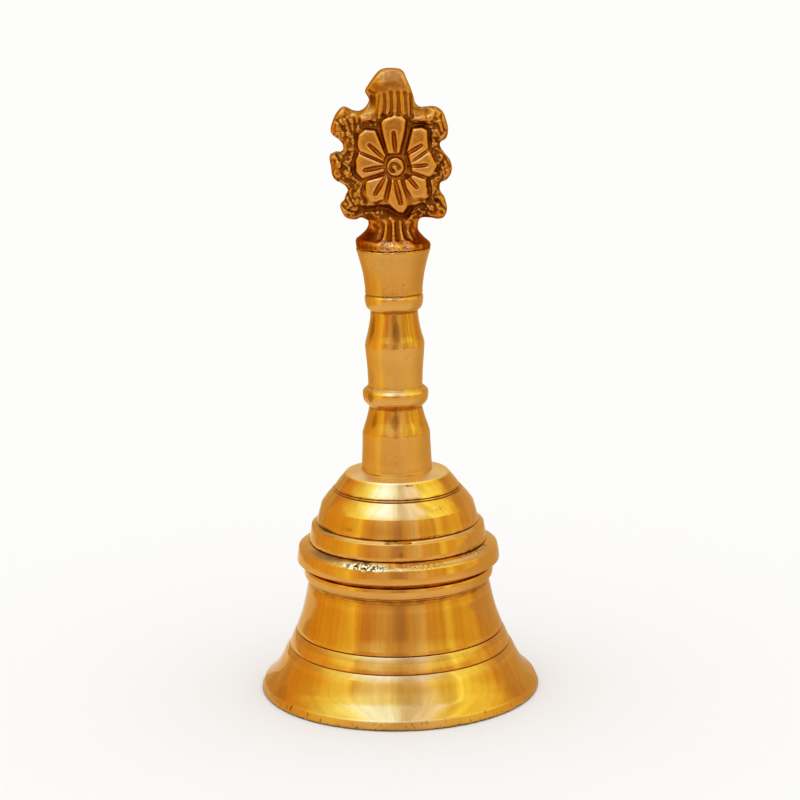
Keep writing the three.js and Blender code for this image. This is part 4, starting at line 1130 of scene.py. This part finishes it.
bell_mat = turned_brass("bell_polished_brass", (0.66, 0.31, 0.055, 1), (0.61, 0.270, 0.043, 1), 0.045, bloom=0.55, aniso=0.15, inside=True, stain=0.45, rim=True,
                        lines=bell_lines, spots=bell_spots, brushed=[(60.0, 62.0, 14.2, 0.34, 0.0, (0.92, 0.60, 0.21, 1)), (39.9, 41.45, 27.2, 0.12, 0.0, (0.74, 0.40, 0.10, 1)),
                                 (15.05, 16.75, 40.0, 0.03, 0.0, (0.585, 0.280, 0.074, 1)), (10.9, 12.35, 40.0, 0.03, 0.0, (0.600, 0.290, 0.078, 1))])
grip_lines = [(7.13, 78.62, 0.24, 0.85), (7.40, 84.19, 0.14, 0.5), (6.35, 104.73, 0.22, 0.85), (7.53, 109.25, 0.26, 0.85), (9.85, 121.5, 0.24, 0.65)]
grip_spots = [(-2, 9, 75.6, 2.2, 0.50, None), (4, 10, 99.5, 3.2, 0.45, None), (-58, 9, 100.5, 4.2, 0.55, None), (-47, 8, 75.5, 2.6, 0.50, None), (-58, 12, 87.5, 2.6, 0.45, 0.50), (-30, 16, 71.8, 0.5, 0.7, -0.55), (20, 40, 71.6, 0.5, 0.42, -0.57), (10, 50, 95.6, 0.5, 0.35, -0.57), (-50, 9, 82.0, 1.6, 0.6, None),
              (0, 90, 109.3, 0.45, 0.45, 0.48), (8, 48, 111.4, 2.0, 0.50, 0.60), (30, 40, 74.0, 1.6, 0.35, 0.60), (-20, 30, 118.0, 3.0, 0.5, 0.62), (30, 30, 90.0, 6.0, 0.5, 0.63), (-20, 40, 66.0, 4.0, 0.5, 0.63)]
grip_mat = turned_brass("handle_polished_brass", (0.67, 0.32, 0.058, 1), (0.61, 0.275, 0.045, 1), 0.042, bloom=0.55, aniso=0.15, stain=0.6,
                        lines=grip_lines, spots=grip_spots, brushed=[(56.0, 71.5, 12.0, 0.24, 2.2, (0.72, 0.385, 0.088, 1)), (84.6, 95.5, 12.0, 0.24, 2.6, (0.73, 0.40, 0.095, 1)), (83.30, 84.9, 12.0, 0.22, 0.0, (0.70, 0.37, 0.085, 1)), (79.9, 82.75, 12.0, 0.13, 0.3, (0.71, 0.375, 0.080, 1)),
                                 (105.9, 108.45, 12.0, 0.10, 0.3, (0.72, 0.39, 0.090, 1)),
                                 (109.5, 121.9, 12.0, 0.22, 0.0, (0.66, 0.325, 0.066, 1))])
ball_mat = turned_brass("clapper_turned_brass", (0.58, 0.275, 0.055, 1), (0.44, 0.19, 0.036, 1), 0.26, bloom=0.8, stain=0.9)
finial_mat = cast_brass("finial_cast_brass")
steel_mat = plated_steel("fitting_zinc_steel")
stud_mat = plated_steel("stud_zinc_steel", False)
wire_mat = drawn_wire("clapper_drawn_wire")
for piece, mat in ((shell, bell_mat), (grip, grip_mat), (finial, finial_mat), (eye, steel_mat), (washer, steel_mat),
                   (nut, steel_mat), (link, wire_mat), (rod, wire_mat), (ball, ball_mat)):
    piece.data.materials.append(mat)
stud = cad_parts["finial_stud"]
stud.data.materials.clear()
stud.data.materials.append(stud_mat)


# ------------------------------------------------------------------ room light
LOW = [  # azimuth seen from the bell (0 is the front, + is the right), colour of the room there at low height
    (-180, (0.78, 0.70, 0.50)), (-152, (0.74, 0.62, 0.36)), (-136, (0.76, 0.60, 0.34)), (-122, (0.82, 0.54, 0.18)), (-110, (0.92, 0.60, 0.11)),
    (-98, (0.96, 0.70, 0.14)), (-84, (0.94, 0.69, 0.13)), (-76, (0.98, 0.74, 0.15)), (-67, (1.11, 0.99, 0.23)), (-56, (1.16, 1.08, 0.32)),
    (-50, (0.96, 0.70, 0.20)), (-36, (0.80, 0.54, 0.26)), (-24, (0.84, 0.72, 0.50)), (-12, (0.85, 0.74, 0.52)), (-5, (0.62, 0.46, 0.36)), (3, (0.58, 0.44, 0.34)),
    (11, (0.82, 0.66, 0.40)), (19, (0.90, 0.82, 0.66)), (28, (0.97, 0.97, 0.88)), (34, (0.92, 0.72, 0.34)), (46, (0.86, 0.68, 0.20)), (54, (0.88, 0.70, 0.22)), (58, (1.16, 1.19, 0.41)),
    (64, (1.14, 1.12, 0.37)), (69, (0.90, 0.70, 0.19)), (76, (0.90, 0.72, 0.18)), (84, (1.04, 0.94, 0.26)), (96, (1.02, 0.88, 0.27)), (106, (0.86, 0.64, 0.26)), (120, (0.80, 0.62, 0.34)),
    (140, (0.78, 0.66, 0.42)), (180, (0.78, 0.70, 0.50)),
]
MIDDLE = [  # the same at about 25 degrees up
    (-180, (0.78, 0.70, 0.55)), (-150, (0.72, 0.58, 0.40)), (-136, (0.68, 0.46, 0.24)), (-122, (0.84, 0.54, 0.13)), (-104, (0.94, 0.72, 0.22)),
    (-87, (1.06, 0.99, 0.34)), (-74, (1.22, 1.34, 0.50)), (-66, (1.34, 1.62, 0.80)), (-58, (1.30, 1.54, 0.74)), (-48, (1.06, 1.06, 0.54)), (-38, (1.12, 1.20, 0.96)), (-24, (1.12, 1.26, 1.34)),
    (-10, (0.92, 0.86, 0.60)), (4, (0.80, 0.72, 0.50)), (14, (0.86, 0.82, 0.66)), (25, (1.10, 1.24, 1.30)), (33, (1.14, 1.28, 0.80)), (41, (1.14, 1.29, 0.60)), (50, (1.05, 1.16, 0.43)), (57, (1.26, 1.46, 0.62)),
    (61, (1.54, 2.14, 1.00)), (67, (1.40, 1.82, 0.74)), (75, (1.24, 1.44, 0.50)), (85, (1.36, 1.68, 0.64)), (96, (1.22, 1.36, 0.46)), (107, (1.02, 0.94, 0.33)), (118, (0.84, 0.62, 0.22)), (132, (0.72, 0.54, 0.34)),
    (150, (0.74, 0.62, 0.45)), (180, (0.78, 0.70, 0.55)),
]
UPPER = [  # about 37 degrees up
    (-180, (1.05, 1.30, 2.10)), (-156, (0.88, 0.96, 1.40)), (-142, (0.70, 0.50, 0.30)), (-130, (0.74, 0.50, 0.16)), (-118, (0.90, 0.68, 0.17)), (-103, (1.10, 1.12, 0.42)), (-89, (1.18, 1.38, 0.60)),
    (-76, (1.30, 1.68, 0.90)), (-66, (1.42, 2.02, 1.30)), (-54, (1.50, 2.20, 2.00)), (-42, (1.38, 2.08, 2.70)), (-26, (1.38, 2.10, 3.50)), (-12, (1.24, 1.76, 2.30)), (-2, (0.98, 1.24, 1.50)), (10, (0.86, 0.98, 1.20)),
    (18, (1.00, 1.30, 2.10)), (27, (1.20, 1.66, 3.40)), (36, (1.26, 1.74, 2.40)), (43, (1.22, 1.58, 1.30)), (51, (1.10, 1.32, 0.85)), (58, (1.20, 1.52, 0.85)), (63, (1.52, 2.15, 1.15)), (74, (1.42, 1.86, 0.86)),
    (88, (1.38, 1.72, 0.72)), (100, (1.32, 1.56, 0.62)), (110, (1.24, 1.40, 0.52)), (120, (1.00, 0.88, 0.30)), (134, (0.76, 0.58, 0.36)), (150, (0.86, 0.90, 1.20)), (180, (1.05, 1.30, 2.10)),
]
HIGH = [  # the big soft light overhead, in front
    (-180, (1.42, 2.20, 4.20)), (-150, (1.20, 1.60, 2.40)), (-128, (1.00, 1.00, 0.80)), (-100, (1.22, 1.56, 0.92)), (-82, (1.44, 2.20, 2.00)), (-70, (1.48, 2.40, 3.6)), (-56, (1.54, 2.80, 7.8)),
    (-30, (1.52, 2.90, 9.4)), (-12, (1.42, 2.50, 7.2)), (-3, (1.20, 1.84, 4.4)), (5, (1.04, 1.48, 3.2)), (16, (1.02, 1.42, 3.0)), (26, (1.24, 1.76, 4.2)),
    (40, (1.32, 1.90, 4.4)), (53, (1.42, 2.06, 4.6)), (58, (1.34, 1.84, 2.6)), (63, (1.16, 1.44, 1.00)), (71, (1.20, 1.46, 0.80)), (78, (1.46, 1.94, 0.90)), (84, (1.42, 1.84, 0.80)), (90, (1.32, 1.60, 0.64)),
    (103, (1.34, 1.60, 0.60)), (116, (1.22, 1.34, 0.50)), (130, (0.92, 0.84, 0.56)), (150, (1.15, 1.50, 2.10)), (180, (1.42, 2.20, 4.20)),
]


def room(n, direction):
    """Colour of the room in a direction."""
    s = n.new("ShaderNodeSeparateXYZ", {0: direction}).outputs
    turn = n.math("ARCTAN2", s[0], n.math("MULTIPLY", s[1], -1.0))
    at = n.math("MULTIPLY_ADD", turn, 1.0 / (2 * math.pi), 0.5)
    up = n.math("MULTIPLY", n.math("ARCSINE", s[2]), 180.0 / math.pi)
    bands = []
    for table in (LOW, MIDDLE, UPPER, HIGH):
        peak = max(max(c) for _, c in table)
        node = n.new("ShaderNodeValToRGB", {0: at})
        el = node.color_ramp.elements
        while len(el) < len(table):
            el.new(0.5)
        for i, (a, c) in enumerate(table):
            el[i].position = (a + 180.0) / 360.0
            el[i].color = (c[0] / peak, c[1] / peak, c[2] / peak, 1.0)
        scaled = n.new("ShaderNodeVectorMath", operation="SCALE")
        n.put(scaled.inputs[0], node.outputs[0])
        scaled.inputs["Scale"].default_value = peak
        bands.append(scaled.outputs[0])
    col = n.mix(n.ramp(up, 13.0, 25.0), bands[0], bands[1])
    col = n.mix(n.ramp(up, 26.0, 37.0), col, bands[2])
    col = n.mix(n.ramp(up, 40.0, 56.0), col, bands[3])
    flat = n.new("ShaderNodeVectorMath", {0: n.vec(s[0], s[1], 0.0)}, operation="NORMALIZE").outputs[0]
    flat = n.new("ShaderNodeSeparateXYZ", {0: flat}).outputs
    clutter = n.noise(n.vec(n.math("MULTIPLY", flat[0], 10.0), n.math("MULTIPLY", flat[1], 10.0), n.math("MULTIPLY", up, 0.022)), 1.0, 3.0, 0.6)
    much = n.new("ShaderNodeVectorMath", {0: col}, operation="SCALE")
    n.put(much.inputs["Scale"], n.ramp(clutter, 0.36, 0.64, 0.93, 1.07))
    return much.outputs[0]


world = bpy.data.worlds.new("studio")
bpy.context.scene.world = world
world.use_nodes = True
world.cycles.sampling_method = "NONE"
n = Nodes(tree=world.node_tree)
where = n.new("ShaderNodeTexCoord").outputs["Generated"]
paint = room(n, where)
path = n.new("ShaderNodeLightPath")
colour = n.mix(path.outputs["Is Glossy Ray"], (1.06, 1.055, 1.05, 1), paint)
back = n.new("ShaderNodeBackground", {"Color": colour, "Strength": 1.0})
n.new("ShaderNodeOutputWorld", {"Surface": back.outputs[0]})

# pale floor; what the metal mirrors of it ends in the room a hand's breadth out
me = bpy.data.meshes.new("floor")
me.from_pydata([(-14, -14, -0.0002), (14, -14, -0.0002), (14, 14, -0.0002), (-14, 14, -0.0002)], [], [(0, 1, 2, 3)])
floor_ob = bpy.data.objects.new("floor", me)
bpy.context.scene.collection.objects.link(floor_ob)
n = Nodes("pale_floor")
pos = n.new("ShaderNodeNewGeometry").outputs["Position"]
sp = n.new("ShaderNodeSeparateXYZ", {0: pos}).outputs
dist = n.math("SQRT", n.math("ADD", n.math("MULTIPLY", sp[0], sp[0]), n.math("MULTIPLY", sp[1], sp[1])))
side = n.math("ARCTAN2", sp[0], n.math("MULTIPLY", sp[1], -1.0))
reach = n.ramp(side, -0.95, -0.35, 0.20, 0.72)
path = n.new("ShaderNodeLightPath")
glossy = path.outputs["Is Glossy Ray"]
# for glossy rays only, the floor is painted amber further out and darker on the right: painted reflection, with painted
# shade on the right side
sheet = n.mix(n.math("MULTIPLY", glossy, n.ramp(dist, 0.12, 0.40)), (0.93, 0.93, 0.925, 1), (0.90, 0.74, 0.52, 1))
sheet = n.mix(n.math("MULTIPLY", glossy, n.ramp(side, 1.0, 1.9)), sheet, (0.72, 0.60, 0.44, 1))
paper = n.new("ShaderNodeBsdfPrincipled", {"Base Color": sheet, "Roughness": 0.9})
paper.inputs["Specular IOR Level"].default_value = 0.0
clear = n.new("ShaderNodeBsdfTransparent")
under = n.new("ShaderNodeNewGeometry").outputs["Backfacing"]
under = n.math("MAXIMUM", under, n.ramp(dist, 0.0366, 0.0362))
gone = n.math("MAXIMUM", under, n.math("MULTIPLY", glossy, n.ramp(n.math("SUBTRACT", dist, reach), 0.0, 0.12)))
mixer = n.new("ShaderNodeMixShader", {0: gone, 1: paper.outputs[0], 2: clear.outputs[0]})
n.new("ShaderNodeOutputMaterial", {"Surface": mixer.outputs[0]})
me.materials.append(n.mat)

bpy.context.scene.view_settings.view_transform = "Standard"
bpy.context.scene.view_settings.look = "None"
bpy.context.scene.view_settings.exposure = 0.0
bpy.context.scene.view_settings.gamma = 1.0
